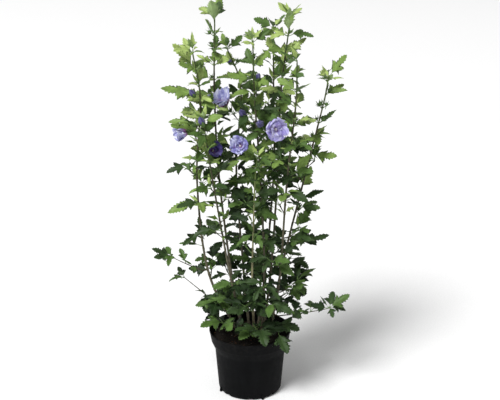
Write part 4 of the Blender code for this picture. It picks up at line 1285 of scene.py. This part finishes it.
def grid_faces(rows, columns, closed=False):
    """Quads between neighbouring points of a grid, round and round if closed."""
    corner = np.arange(rows * columns).reshape(rows, columns)
    after = np.roll(corner, -1, axis=1)
    if not closed:
        corner, after = corner[:, :-1], after[:, :-1]
    return np.stack([corner[:-1], after[:-1], after[1:], corner[1:]], -1).reshape(-1, 4)


def capped(rings):
    """The points and faces of a stack of rings, closed at both ends."""
    rows, sides, _ = rings.shape
    first = rows * sides
    near = np.arange(sides)
    after = np.roll(near, -1)
    far = first - sides
    caps = [
        np.stack([np.full(sides, first), after, near], -1),
        np.stack([np.full(sides, first + 1), far + near, far + after], -1),
    ]
    middles = np.stack([rings[0].mean(0), rings[-1].mean(0)])
    return np.vstack([rings.reshape(-1, 3), middles]), [grid_faces(rows, sides, True), *caps]


def round_angles(sides):
    return np.arange(sides) * math.tau / sides


def tube(path, radii, sides, relief=0.0):
    """A round stem along a path. relief (rings by sides) is how far its skin stands out, over its radius."""
    path = np.array(path, float)
    ahead = unit(np.gradient(path, axis=0))
    span = path[-1] - path[0]
    upright = abs(span[2]) > 0.7 * np.linalg.norm(span)
    reference = np.array((1.0, 0, 0) if upright else (0, 0, 1.0))
    side = unit(reference - ahead * (ahead @ reference)[:, None])
    over = np.cross(ahead, side)
    angles = round_angles(sides)
    out = np.cos(angles)[None, :, None] * side[:, None] + np.sin(angles)[None, :, None] * over[:, None]
    size = np.array(radii, float)[:, None] * (1 + relief + 0 * angles)
    return capped(path[:, None] + out * size[:, :, None])


def quadratic(start, middle, end, t):
    return (1 - t) ** 2 * start + 2 * t * (1 - t) * middle + t**2 * end


def bend(start, middle, end, count):
    """Points on a quadratic curve."""
    start, middle, end = (np.array(p, float) for p in (start, middle, end))
    return quadratic(start, middle, end, np.linspace(0, 1, count)[:, None])


def phases(draw):
    """Three angles where waves start."""
    return [draw.uniform(0, math.tau) for _ in range(3)]


def placed(points, matrix):
    matrix = np.array(matrix)
    return points @ matrix[:3, :3].T + matrix[:3, 3]


# --- Leaves ---

Template = namedtuple("Template", "along across puff faces rib")


def half_outline(form):
    """One half of a leaf's edge from stalk to tip: rows of (along, across, vein's foot, 1 between veins)."""
    tips = [(0.0, 0.012, 0.0), *form.teeth, (1.0, 0.008, 0.965)]
    rows = [(*tips[0], 0)]
    for number, (tip, after) in enumerate(zip(tips, tips[1:])):
        deep = number == form.sinus
        share = 0.5 if deep or number == 0 else 0.28
        x, y, foot = (a + (b - a) * share for a, b in zip(tip, after))
        x -= 0.10 * form.lobing if deep else 0
        cut = form.lobing if deep else form.notch * min(1, number / 2)
        rows.append((x, y * (1 - cut), foot, 1))
        rows.append((*after, 0))
    return np.array(rows)


def leaf_template(form, columns):
    """A flat blade of length 1: a grid of points, its faces, and which of them are the midrib."""
    x, y, foot, between = half_outline(form).T[:, :, None]
    share = np.array(columns)[None]
    edge = VEIN_HALF * (1.02 - foot)
    along_half = foot + (x - foot) * share
    across_half = edge + (np.maximum(y, edge + 0.001) - edge) * share
    puff_half = between * np.sin(math.pi * share) * PUFF + RIB * np.minimum(share * 4, 1)
    both = [np.hstack([half[:, ::-1], half]) for half in (along_half, across_half, puff_half)]
    both[1][:, : len(columns)] *= -1
    rows, width = both[0].shape
    faces = grid_faces(rows, width)[:, ::-1]
    rib = np.tile(np.arange(width - 1) == len(columns) - 1, rows - 1)
    return Template(*(b.ravel() for b in both), faces, rib)


def draw_leaf(leaf, template, look, draw, foliage, twigs):
    """A bent, folded and waved blade on its stalk."""
    (root, base, lobe, apex), side = leaf_line(leaf)
    t = template.along[:, None]
    start, middle, end = (np.array(p) for p in (base, lobe, apex))
    spine = quadratic(start, middle, end, t)
    ahead = unit((1 - t) * (middle - start) + t * (end - middle))
    side = np.array(side)
    across = unit(side - ahead * (ahead @ side)[:, None])
    over = np.cross(ahead, across)
    twist = draw.uniform(-LEAF_TWIST, LEAF_TWIST) * t
    cos, sin = np.cos(twist), np.sin(twist)
    across, over = cos * across + sin * over, cos * over - sin * across
    reach = template.across[:, None] * draw.uniform(*BREADTH) * np.interp(crown_share(root.z), *BREADTH_AT)
    far = np.abs(reach)
    fold, curl = draw.uniform(*FOLD), draw.uniform(*LEAF_CURL)
    depth, waves, start_at = draw.uniform(*WAVE_DEPTH), draw.uniform(*WAVES), draw.uniform(*WAVE_START)
    wave = depth * np.sin(t * waves + start_at + np.sign(reach)) * far
    lift = far * fold - far**2 * curl + template.puff[:, None] + wave
    points = spine + (across * reach + over * lift) * leaf.blade
    # the darker tones, partly painted shade, take the dark midrib
    midrib = LIGHT_MIDRIB if look < FIRST_DARK_LOOK else DARK_MIDRIB
    foliage.add(points, [template.faces], np.where(template.rib, midrib, look))
    sag = root.lerp(base, 0.55) - UP * 0.06 * leaf.petiole
    stalk = bend(root, sag, base + (lobe - base) * 0.05, 5)
    thick = THICK_PETIOLE if leaf.petiole > LONG_PETIOLE else THIN_PETIOLE
    twigs.add(*tube(stalk, np.linspace(thick * 1.25, thick * 0.75, 5), 5), GREEN_STALK)


# --- Buds and flowers ---

PETAL, SEPAL, COLUMN = range(3)


def spindle(length, radius, rows, sides, twist=0.0, ridges=5, depth=0.10, fullness=0.8):
    """A bud standing on the origin along +Z, with ridges that may spiral up it."""
    v = np.linspace(0.02, 0.995, rows)[:, None]
    angle = round_angles(sides)[None]
    around = radius * np.sin(math.pi * v**fullness) ** 0.75
    size = around * (1 + depth * np.cos(ridges * (angle + twist * v)))
    rings = np.stack([size * np.cos(angle), size * np.sin(angle), v * length + 0 * angle], -1)
    return capped(rings)


def petal_sheet(length, width, lean_from, lean_to, ruffle, draw, rows=11, columns=11, point=0.0):
    """A petal rooted at the origin and standing out along +X, leaning from the flower's axis +Z.
    point narrows its tip. Returns points, faces and the petal attribute."""
    v = np.linspace(0, 1, rows)
    lean = np.radians(lean_from + (lean_to - lean_from) * v)
    step = length / (rows - 1)
    out = np.concatenate([[0], np.cumsum(np.sin(lean[1:]) * step)])[:, None]
    up = np.concatenate([[0], np.cumsum(np.cos(lean[1:]) * step)])[:, None]
    body = 0.24 + 0.76 * np.sin(math.pi / 2 * np.minimum(1, v / 0.6))  # narrow at its foot
    tip = np.sqrt(1 - 0.92 * np.clip((v - 0.60) / 0.40, 0, 1) ** 2.4) * (1 - point * np.clip(v - 0.3, 0, 1))
    u = np.linspace(-1, 1, columns)[None]
    v, lean, half = v[:, None], lean[:, None], (width / 2 * body * tip)[:, None]
    first, second, third = phases(draw)
    # the ruffle grows towards the tip, and the edge is uneven, with a dent at its middle
    wave = np.sin(8 * u + first) * 0.55 + np.sin(15 * u + second) * 0.35 * np.abs(u)
    wave = wave + np.sin(9 * v + third) * 0.35
    rise = ruffle * length * v**1.6 * wave - 0.22 * half * u**2
    grow = 1 + 0.06 * v * np.sin(9 * u + third) - 0.10 * v**3 * np.exp(-((u / 0.25) ** 2))
    points = np.stack([out * grow + rise * np.cos(lean), u * half, up * grow - rise * np.sin(lean)], -1)
    values = np.stack([u + 0 * v, v + 0 * u, np.full((rows, columns), draw.uniform(0, 9))], -1)
    return points.reshape(-1, 3), [grid_faces(rows, columns)], values.reshape(-1, 3)


def draw_bracts(joined, place, length, draw):
    """The narrow bracts round a bud's foot, curving out and up like claws."""
    for k in range(BRACTS):
        azimuth = math.tau * (k + draw.uniform(-0.2, 0.2)) / BRACTS
        lean = draw.uniform(0.75, 1.25)
        size = length * draw.uniform(0.8, 1.2)
        out = Vector((math.cos(azimuth), math.sin(azimuth), 0))
        middle = out * size * 0.55 * math.sin(lean) + UP * size * 0.30
        end = out * size * 0.75 * math.sin(lean) + UP * size * (0.55 + 0.5 * math.cos(lean))
        joined.put(tube(bend(out * 0.001, middle, end, 5), BRACT_RADII, 5), place, SEPAL)


def draw_calyx(joined, place, length, radius):
    """A cup round a bud's lower half, with five pointed lobes."""
    rows, sides = 9, 40
    angle = round_angles(sides)[None]
    v = np.linspace(0.03, 1, rows)[:, None] * (0.50 + 0.14 * np.cos(SEPALS * angle))
    around = radius * np.sin(math.pi * v**1.05) ** 0.75
    points = np.stack([around * np.cos(angle), around * np.sin(angle), v * length], -1).reshape(-1, 3)
    joined.put((points, [grid_faces(rows, sides, True)]), place, SEPAL)


def draw_sepals(joined, place, length, width, lean_from, lean_to, draw):
    for k in range(SEPALS):
        points, faces, _ = petal_sheet(length, width, lean_from, lean_to, 0.01, draw, 6, 5, 0.75)
        joined.put((points, faces), place @ Matrix.Rotation(math.tau * k / SEPALS, 4, "Z"), SEPAL)


def draw_flower(bloom, draw, joined):
    """Five broad petals, a ruffle of smaller ones, the column and its anthers, sepals and bracts."""
    radius = bloom.width / 2
    depth = (0.25 + 0.20 * (1 - bloom.open)) * bloom.width  # a flower that is less open is deeper
    faces = Vector(bloom.faces) + Vector(FLOWER_TURNS.get(bloom.mass, (0, 0, 0)))
    throat = facing(faces, Vector(bloom.centre)) @ Matrix.Translation((0, 0, -depth))
    spin = draw.uniform(0, math.tau)
    for k in range(OUTER_PETALS):
        length = radius * (1.20 + 0.62 * (1 - bloom.open)) * draw.uniform(0.86, 1.14)
        lean = 10 + 22 * bloom.open, 22 + 54 * bloom.open + draw.uniform(-18, 18)
        width = radius * (1.22 + 0.25 * (1 - bloom.open))
        points, faces, values = petal_sheet(length, width, *lean, 0.03 + 0.08 * bloom.open, draw, 15, 15)
        points[:, 2] += points[:, 1] * 0.14
        place = throat @ Matrix.Rotation(spin + math.tau * k / OUTER_PETALS, 4, "Z")
        joined.put((points, faces, values), place, PETAL)
    for k in range(round(RUFFLE_PETALS * bloom.open**1.5)):
        length = radius * (1.02 - 0.035 * k) * draw.uniform(0.80, 1.08)
        lean = draw.uniform(0, 26), draw.uniform(30, 72)
        width = length * draw.uniform(0.60, 0.95)
        points, faces, values = petal_sheet(length, width, *lean, 0.17, draw, 10, 11)
        values[:, 1] *= THROAT_REACH
        joined.put((points, faces, values), throat @ Matrix.Rotation(spin + TURN * (k + 0.5), 4, "Z"), PETAL)
    stand = bend((0, 0, 0), (0, 0, radius * 0.25), (0, 0, radius * COLUMN_LENGTH), 7)
    joined.put(tube(stand, np.full(7, radius * COLUMN_RADIUS), 8), throat, COLUMN)
    for k in range(ANTHERS):
        direction = heading(TURN * k, 0.5)
        height = radius * (0.25 + 0.34 * k / ANTHERS)
        place = throat @ facing(direction, direction * radius * 0.055 + UP * height)
        joined.put(spindle(*(radius * size for size in ANTHER_SIZE), 5, 6, depth=0), place, COLUMN)
    foot = throat @ Matrix.Translation((0, 0, -0.0015))
    size = [radius * share for share in SEPAL_SIZE]
    draw_sepals(joined, foot, *size, 62, 30 + 25 * bloom.open, draw)
    draw_bracts(joined, foot @ Matrix.Translation((0, 0, -0.001)), 0.012, draw)
    joined.put(spindle(0.006, 0.0034, 7, 10, depth=0), foot @ Matrix.Translation((0, 0, -0.004)), SEPAL)


def draw_violet_bud(bloom, draw, joined):
    """Petals furled round each other in a spiral, out of a green calyx."""
    width = bloom.width
    foot = facing(Vector(bloom.faces), Vector(bloom.centre)) @ Matrix.Translation((0, 0, -0.8 * width))
    points, faces = spindle(width * 1.75, width * 0.46, 18, 25, 1.5, 5, 0.13, 1.05)
    values = np.stack([np.arctan2(points[:, 1], points[:, 0]), 0.5 + 30 * points[:, 2], 0 * points[:, 0]], -1)
    joined.put((points, faces, values), foot, PETAL)
    draw_calyx(joined, foot @ Matrix.Translation((0, 0, -0.0005)), width * 1.75, width * 0.55)
    draw_bracts(joined, foot, 0.014, draw)


def draw_green_bud(root, direction, size, draw, joined):
    """A closed bud in its ribbed calyx, on a short stalk, with its claws of bracts."""
    foot = root + direction * 0.014 * size
    joined.add(*tube(bend(root, root.lerp(foot, 0.5), foot, 4), BUD_STALK_RADII, 6), SEPAL)
    place = facing(direction, foot)
    joined.put(spindle(0.0125 * size, 0.0046 * size, 12, 15, 0.0, 5, 0.07, 0.72), place, SEPAL)
    draw_bracts(joined, place, 0.017 * size, draw)


# --- The plant's pieces ---

WOOD, GREEN_STALK = range(2)


def bark_relief(travelled, angles, scars, draw):
    """Ridges along a cane, and the swellings where leaves or shoots stand or stood."""
    d, a = travelled[:, None], angles[None]
    waves = zip(BARK_RIDGES, phases(draw))
    relief = sum(high * np.sin(count * a + climb * d + phase) for (high, count, climb), phase in waves)
    for distance, azimuth, height in scars:
        near = np.exp(-(((d - distance) / 0.0035) ** 2))
        apart = (a - azimuth + math.pi) % math.tau - math.pi
        relief += height * near * (0.30 + np.exp(-((apart / 0.8) ** 2)))
    return relief


def draw_bark(letter, crown, material, draw):
    """A cane from the soil to its tip."""
    cane = CANES[letter]
    path = cane_path(cane, BARK_STEP)
    points = np.array(path)
    steps = np.linalg.norm(np.diff(points, axis=0), axis=1)
    travelled = np.concatenate([[0], np.cumsum(steps)])
    radii = np.array([cane_radius(z, cane.tip[2]) * np.interp(z, *SWELLING) for z in points[:, 2]])
    radii[-len(CANE_END):] *= CANE_END
    nodes = np.arange(FIRST_SCAR, travelled[-1], SCAR_STEP)
    scars = [(d, draw.uniform(0, math.tau), draw.uniform(*SCAR_HEIGHT)) for d in nodes]
    angles = round_angles(BARK_SIDES)
    points, faces = tube(points, radii, BARK_SIDES, bark_relief(travelled, angles, scars, draw))
    along_each = np.concatenate([np.repeat(travelled, BARK_SIDES), travelled[[0, -1]]])
    growth = np.stack([along_each, travelled[-1] - along_each, 0 * along_each], -1)
    bark = Joined()
    bark.add(points, faces, 0, growth)
    finish_piece(bark.made("bark_" + letter, [material], "growth"), "cane_bark", "cane_" + letter, crown)


def draw_stipules(leaf, twigs, draw):
    """Two thread-like stipules beside the foot of a leaf's stalk."""
    for hand in (-1, 1):
        out = heading(leaf.azimuth + hand * 0.7, leaf.rise + 0.3)
        end = leaf.root + out * STIPULE * draw.uniform(0.7, 1.3) + UP * 0.001
        thread = bend(leaf.root, leaf.root.lerp(end, 0.6), end, 4)
        twigs.add(*tube(thread, (0.0005, 0.0004, 0.0003, 0.0001), 4), GREEN_STALK)


def draw_spur(foot, end, twigs):
    """A short side twig, ringed by old bud scars and swollen at its end."""
    share = np.linspace(0, 1, 13)
    radii = SPUR_RADIUS + (SPUR_END_RADIUS - SPUR_RADIUS) * share**2.5 + 0.00022 * np.sin(share * 31)
    radii[-1] *= 0.6
    twigs.add(*tube(bend(foot, foot.lerp(end, 0.5) - UP * 0.0012, end, 13), radii, 8), WOOD)


def leaf_look(leaf, young, cane_top, draw):
    """The material of a leaf: lighter high in the crown, near its cane's top, far out and when young. The
    lighter tone high and far out is partly painted light, and the darker tone low and inside the crown is
    partly painted shade.
    """
    height = max(crown_share(leaf.root.z), CANE_TOP_LIGHT - (cane_top - leaf.root.z) / CANE_TOP_SPAN)
    outward = ((leaf_line(leaf)[0][3] - CROWN_MIDDLE).to_2d().length - OUTER_FROM) / OUTER_SPAN
    scatter = draw.uniform(-TONE_SCATTER, TONE_SCATTER)
    tone = FOOT_TONE - TONE_CLIMB * height + scatter - OUTER_PAINTED_LIGHT * min(1, max(0, outward))
    tone -= YOUNG_LIGHT if young else 0
    lightest = int(height < NO_FRESH_BELOW) + int(height < (NO_YOUNG_LIME_BELOW if young else NO_LIME_BELOW))
    return 2 * round(min(len(LEAF_TONES) - 1, max(lightest, tone)))


def draw_foliage(letter, masses, leaf_looks, twig_looks, templates):
    """Every leaf of a cane's crown and shoots in one piece, and every stalk and twig in another."""
    draw = random.Random(LEAF_SEED + ord(letter))
    grown_templates, young_templates = templates
    foliage, twigs = Joined(), Joined()
    for mass in masses:
        if not mass.name.startswith("crown"):
            path = smooth_path(mass.path, 0.006)
            radii = np.linspace(mass.radii[0] * 1.05, mass.radii[-1] * 0.8, len(path))
            radii[1:] *= 1 + 0.10 * np.sin(np.arange(1, len(path)) * 1.9)
            twigs.add(*tube(path, radii, 8), WOOD)
        for foot, end in mass.spurs:
            draw_spur(foot, end, twigs)
        for root, middle, end in mass.stalks:
            twigs.add(*tube(bend(root, middle, end, 8), np.linspace(0.0011, 0.0016, 8), 7), GREEN_STALK)
        for leaf, young in mass.leaves:
            height = crown_share(leaf.root.z)
            shares = [low + (high - low) * height for low, high in FORM_SHARES]
            template = draw.choice(young_templates) if young else draw.choices(grown_templates, shares)[0]
            look = leaf_look(leaf, young, CANES[letter].tip[2], draw)
            draw_leaf(leaf, template, look, draw, foliage, twigs)
            if not young:
                draw_stipules(leaf, twigs, draw)
    names = [mass.name for mass in masses]
    thickened(foliage.made("foliage_" + letter, leaf_looks), 1)
    finish_piece(bpy.data.objects["foliage_" + letter], "hibiscus_foliage", *names)
    finish_piece(twigs.made("twigs_" + letter, twig_looks), "hibiscus_foliage", *names)


def draw_blossom(masses, petal_looks, sepal, column):
    """Each flower in a piece of its own, and the buds of each cane in one."""
    buds = defaultdict(Joined)
    for number, bloom in enumerate(BLOOMS):
        draw = random.Random(BLOOM_SEED + number)
        if bloom.kind == "flower":
            flower = Joined()
            draw_flower(bloom, draw, flower)
            looks = [petal_looks[bloom.tone], sepal, column]
            ob = thickened(flower.made(f"flower_{number + 1}", looks, "petal"))
            finish_piece(ob, "hibiscus_foliage", bloom.mass)
            continue
        joined = buds[masses[bloom.mass].letter()]
        if bloom.tone == "green":
            up = Vector(bloom.faces).normalized()
            draw_green_bud(Vector(bloom.centre) - up * bloom.width, up, 1.1, draw, joined)
        else:
            draw_violet_bud(bloom, draw, joined)
    for mass in masses.values():
        draw = random.Random(BLOOM_SEED + sum(ord(c) for c in mass.name))
        for root, direction, size in mass.green_buds:
            draw_green_bud(root, direction, size, draw, buds[mass.letter()])
    for letter, joined in buds.items():
        ob = joined.made("buds_" + letter, [petal_looks["furled"], sepal, column], "petal")
        finish_piece(ob, "hibiscus_foliage", "crown_" + letter)


def draw_plant(masses):
    leaf_looks = leaf_materials()
    stalk = twig_material("leaf_stalk", STALK)
    wood = twig_material("twig_wood", TWIG_WOOD)
    sepal = leaf_material("sepal_green", SEPAL_GREEN, 0.55, 0.3)
    column = plain_material("stamen_cream", STAMEN_CREAM, 0.6)
    bark = bark_material("cane_bark", *BARK_TONES)
    pale = bark_material("young_cane_bark", *YOUNG_BARK_TONES)
    petal_looks = {tone: petal_material("petal_" + tone, *colours) for tone, *colours in PETAL_TONES}
    sheets = ((GROWN_FORMS, GROWN_COLUMNS), (YOUNG_FORMS, YOUNG_COLUMNS))
    templates = [[leaf_template(form, columns) for form in forms] for forms, columns in sheets]
    for letter in CANES:
        own = [mass for mass in masses.values() if mass.letter() == letter]
        young_wood = letter in YOUNG_CANES
        draw = random.Random(BARK_SEED + ord(letter))
        draw_bark(letter, "crown_" + letter, pale if young_wood else bark, draw)
        draw_foliage(letter, own, leaf_looks, [stalk if young_wood else wood, stalk], templates)
    draw_blossom(masses, petal_looks, sepal, column)


# --- Pot and soil ---


def rounded_profile(corners_and_radii):
    """A profile of (radius, height) with each corner rounded by its own amount."""
    points = [np.array(c[:2]) for c in corners_and_radii]
    profile = [points[0][None]]
    for before, corner, after, (_, _, cut) in zip(points, points[1:], points[2:], corners_and_radii[1:]):
        if cut:
            start = corner + (before - corner) / np.linalg.norm(before - corner) * cut
            end = corner + (after - corner) / np.linalg.norm(after - corner) * cut
            profile.append(bend(start, corner, end, 6))
        else:
            profile.append(corner[None])
    profile.append(points[-1][None])
    return np.vstack(profile)


def turned(profile, sides):
    """Rings of points round Z, from the profile's start to its end."""
    angles = round_angles(sides)
    radius, height = profile[:, :1], profile[:, 1:]
    return np.stack([radius * np.cos(angles), radius * np.sin(angles), height + 0 * angles], -1)


def solid_of(bm, name):
    mesh = bpy.data.meshes.new(name)
    bm.to_mesh(mesh)
    bm.free()
    return linked(name, mesh)


def draw_pot():
    """The turned shell with its rounded lip, band and foot, its lugs, and the drain slots cut out."""
    band_foot = POT_HEIGHT - BAND_DEPTH
    lip = RIM_RADIUS - WALL
    shoulder = band_foot - NECK_DROP
    profile = rounded_profile([  # radius, height, and how far from the corner its rounding starts
        (0.002, 0.0006, 0),
        (BODY_FOOT_RADIUS - FOOT_ROUND - 0.006, 0.0006, 0.0004),
        (BODY_FOOT_RADIUS - FOOT_ROUND - 0.004, 0, 0.0004),
        (BODY_FOOT_RADIUS, 0, FOOT_ROUND),
        (BODY_TOP_RADIUS, shoulder, 0.006),
        (RIM_RADIUS - BAND_TAPER - 0.0010, band_foot - 0.0004, 0.0006),
        (RIM_RADIUS - BAND_TAPER, band_foot + 0.0012, 0.0008),
        (RIM_RADIUS - 0.0006, POT_HEIGHT - 0.0050, 0.0004),
        (RIM_RADIUS, POT_HEIGHT - 0.0044, 0.0003),
        (RIM_RADIUS, POT_HEIGHT, 0.0010),
        (lip, POT_HEIGHT, 0.0010),
        (lip - BAND_TAPER, band_foot, 0.0020),
        (BODY_TOP_RADIUS - WALL, shoulder, 0.0020),
        (BODY_FOOT_RADIUS - WALL, FOOT_ROUND, 0.004),
        (BODY_FOOT_RADIUS - FOOT_ROUND * 0.7 - WALL, WALL, 0.002),
        (0.002, WALL, 0),
    ])
    shell = Joined()
    shell.add(*capped(turned(profile, POT_SIDES)), 0)
    pot = shell.made("pot_shell", [plastic_material()])
    extras = bpy.data.collections.new("lugs")
    cutters = bpy.data.collections.new("slots")
    for k in range(LUGS):
        out = heading(LUG_TURN + math.tau * k / LUGS, 0) * (BODY_FOOT_RADIUS + LUG_RADIUS * 0.45)
        lug = cone_between(out + UP * 0.002, out + UP * 0.015, LUG_RADIUS, LUG_RADIUS * 0.6, 20)
        extras.objects.link(solid_of(lug, "lug"))
    for k in range(SLOTS):
        cut = bmesh.new()
        bmesh.ops.create_cube(cut, size=1, matrix=Matrix.Diagonal((*SLOT_SIZE, 1)))
        place = Matrix.Rotation(math.tau * k / SLOTS, 4, "Z")
        place @= Matrix.Translation((BODY_FOOT_RADIUS - 0.001, 0, 0))
        bmesh.ops.transform(cut, matrix=place, verts=cut.verts)
        cutters.objects.link(solid_of(cut, "slot"))
    for name, operation, operands in (("lugs", "UNION", extras), ("slots", "DIFFERENCE", cutters)):
        boolean = pot.modifiers.new(name, "BOOLEAN")
        boolean.operation = operation
        boolean.operand_type = "COLLECTION"
        boolean.collection = operands
    material = pot.data.materials[0]
    pot.data = evaluated_mesh(pot)
    pot.modifiers.clear()
    for ob in [*extras.objects, *cutters.objects]:
        bpy.data.objects.remove(ob)
    pot.data.materials.clear()
    pot.data.materials.append(material)
    pot.data.shade_smooth()
    pot.data.set_sharp_from_angle(angle=SHARP_ANGLE)
    finish_piece(pot, "black_plastic", "pot")


def soil_height(x, y):
    """The uneven top of the soil: mounded at the middle, falling to the wall."""
    radius = math.hypot(x, y)
    share = max(0.0, (radius - SOIL_FLAT_RADIUS) / (RIM_RADIUS - SOIL_FLAT_RADIUS))
    height = SOIL_TOP - SOIL_EDGE_DROP * share**1.2
    for layer, scale, size in SOIL_LUMPS:
        height += bpy_noise.noise(Vector((x, y, layer)) * scale) * size
    return height


def draw_crumb(soil, place, size, ball, draw):
    """A lump of soil or a chip of bark: a dented ball, stretched and turned at random."""
    points, faces = ball
    dents = np.array([draw.uniform(*CRUMB_DENTS) for _ in points])[:, None]
    scale = Matrix.Diagonal((*(draw.uniform(*span) for span in CRUMB_STRETCH), 1))
    spin = Matrix.Rotation(draw.uniform(0, math.tau), 4, "Z")
    tilt = Matrix.Rotation(draw.uniform(-0.6, 0.6), 4, "X")
    look = draw.choices(range(4), CRUMB_SHARES)[0]
    matrix = Matrix.Translation(place) @ spin @ tilt @ scale
    soil.put((points * dents * size, [faces]), matrix, look)


def draw_soil():
    """The uneven surface in the pot with loose crumbs, bark chips and a few pale grains on it."""
    slope = BAND_TAPER / BAND_DEPTH
    edge = RIM_RADIUS - WALL - GAP - (POT_HEIGHT - SOIL_TOP) * slope - SOIL_CLEARANCE
    rings = [turned(np.array([[BODY_TOP_RADIUS - WALL - 0.004, SOIL_FOOT]]), SOIL_SIDES)]
    for radius in np.linspace(edge, SOIL_HOLE, SOIL_RINGS):
        ring = turned(np.array([[radius, 0.0]]), SOIL_SIDES)
        ring[..., 2] = [[soil_height(x, y) for x, y, _ in ring[0]]]
        rings.append(ring)
    soil = Joined()
    soil.add(*capped(np.vstack(rings)), 0)
    draw = random.Random(SOIL_SEED)
    balls = []
    for subdivisions in (1, 2):
        bm = bmesh.new()
        bmesh.ops.create_icosphere(bm, subdivisions=subdivisions, radius=1)
        points = np.array([v.co[:] for v in bm.verts])
        faces = np.array([[v.index for v in f.verts] for f in bm.faces])
        balls.append((points, faces))
        bm.free()
    for number in range(CRUMBS):
        big = number % BIG_EVERY == 0
        radius = (edge - CRUMB_MARGIN) * math.sqrt(draw.random())
        angle = draw.uniform(0, math.tau)
        x, y = radius * math.cos(angle), radius * math.sin(angle)
        size = draw.uniform(*(BIG_CRUMB if big else SMALL_CRUMB))
        place = Vector((x, y, soil_height(x, y) + size * 0.2))
        draw_crumb(soil, place, size, balls[big], draw)
    looks = [soil_material(name, dark, light) for name, dark, light in SOIL_TONES]
    finish_piece(soil.made("soil_surface", looks), "potting_soil", "potting_soil")


# --- Camera, light and floor ---


def set_scene():
    scene = bpy.context.scene
    scene.view_settings.view_transform = "Standard"
    camera = bpy.data.cameras.new("camera")
    camera.lens = CAMERA_LENS
    camera.sensor_width = SENSOR_WIDTH
    scene.camera = linked("camera", camera)
    scene.camera.location = EYE
    scene.camera.rotation_euler = (math.pi / 2 - CAMERA_DIP, 0, 0)
    key = bpy.data.lights.new("key", "SUN")
    key.energy = KEY_STRENGTH
    key.angle = KEY_SPREAD
    sun = linked("key", key)
    sun.rotation_mode = "QUATERNION"
    sun.rotation_quaternion = UP.rotation_difference(KEY_FROM.normalized())
    world = bpy.data.worlds.new("studio")
    world.use_nodes = True
    background = world.node_tree.nodes["Background"]
    background.inputs["Color"].default_value = (1, 1, 1, 1)
    background.inputs["Strength"].default_value = SKY_STRENGTH
    scene.world = world
    floor = Joined()
    profile = np.array([[FLOOR_RADIUS, height] for height in FLOOR_SPAN])
    floor.add(*capped(turned(profile, 96)), 0)
    floor.made("floor", [plain_material("pale_floor", (0.98, 0.98, 0.98), 0.9)])


masses = grow()
draw_plant(masses)
draw_pot()
draw_soil()
set_scene()
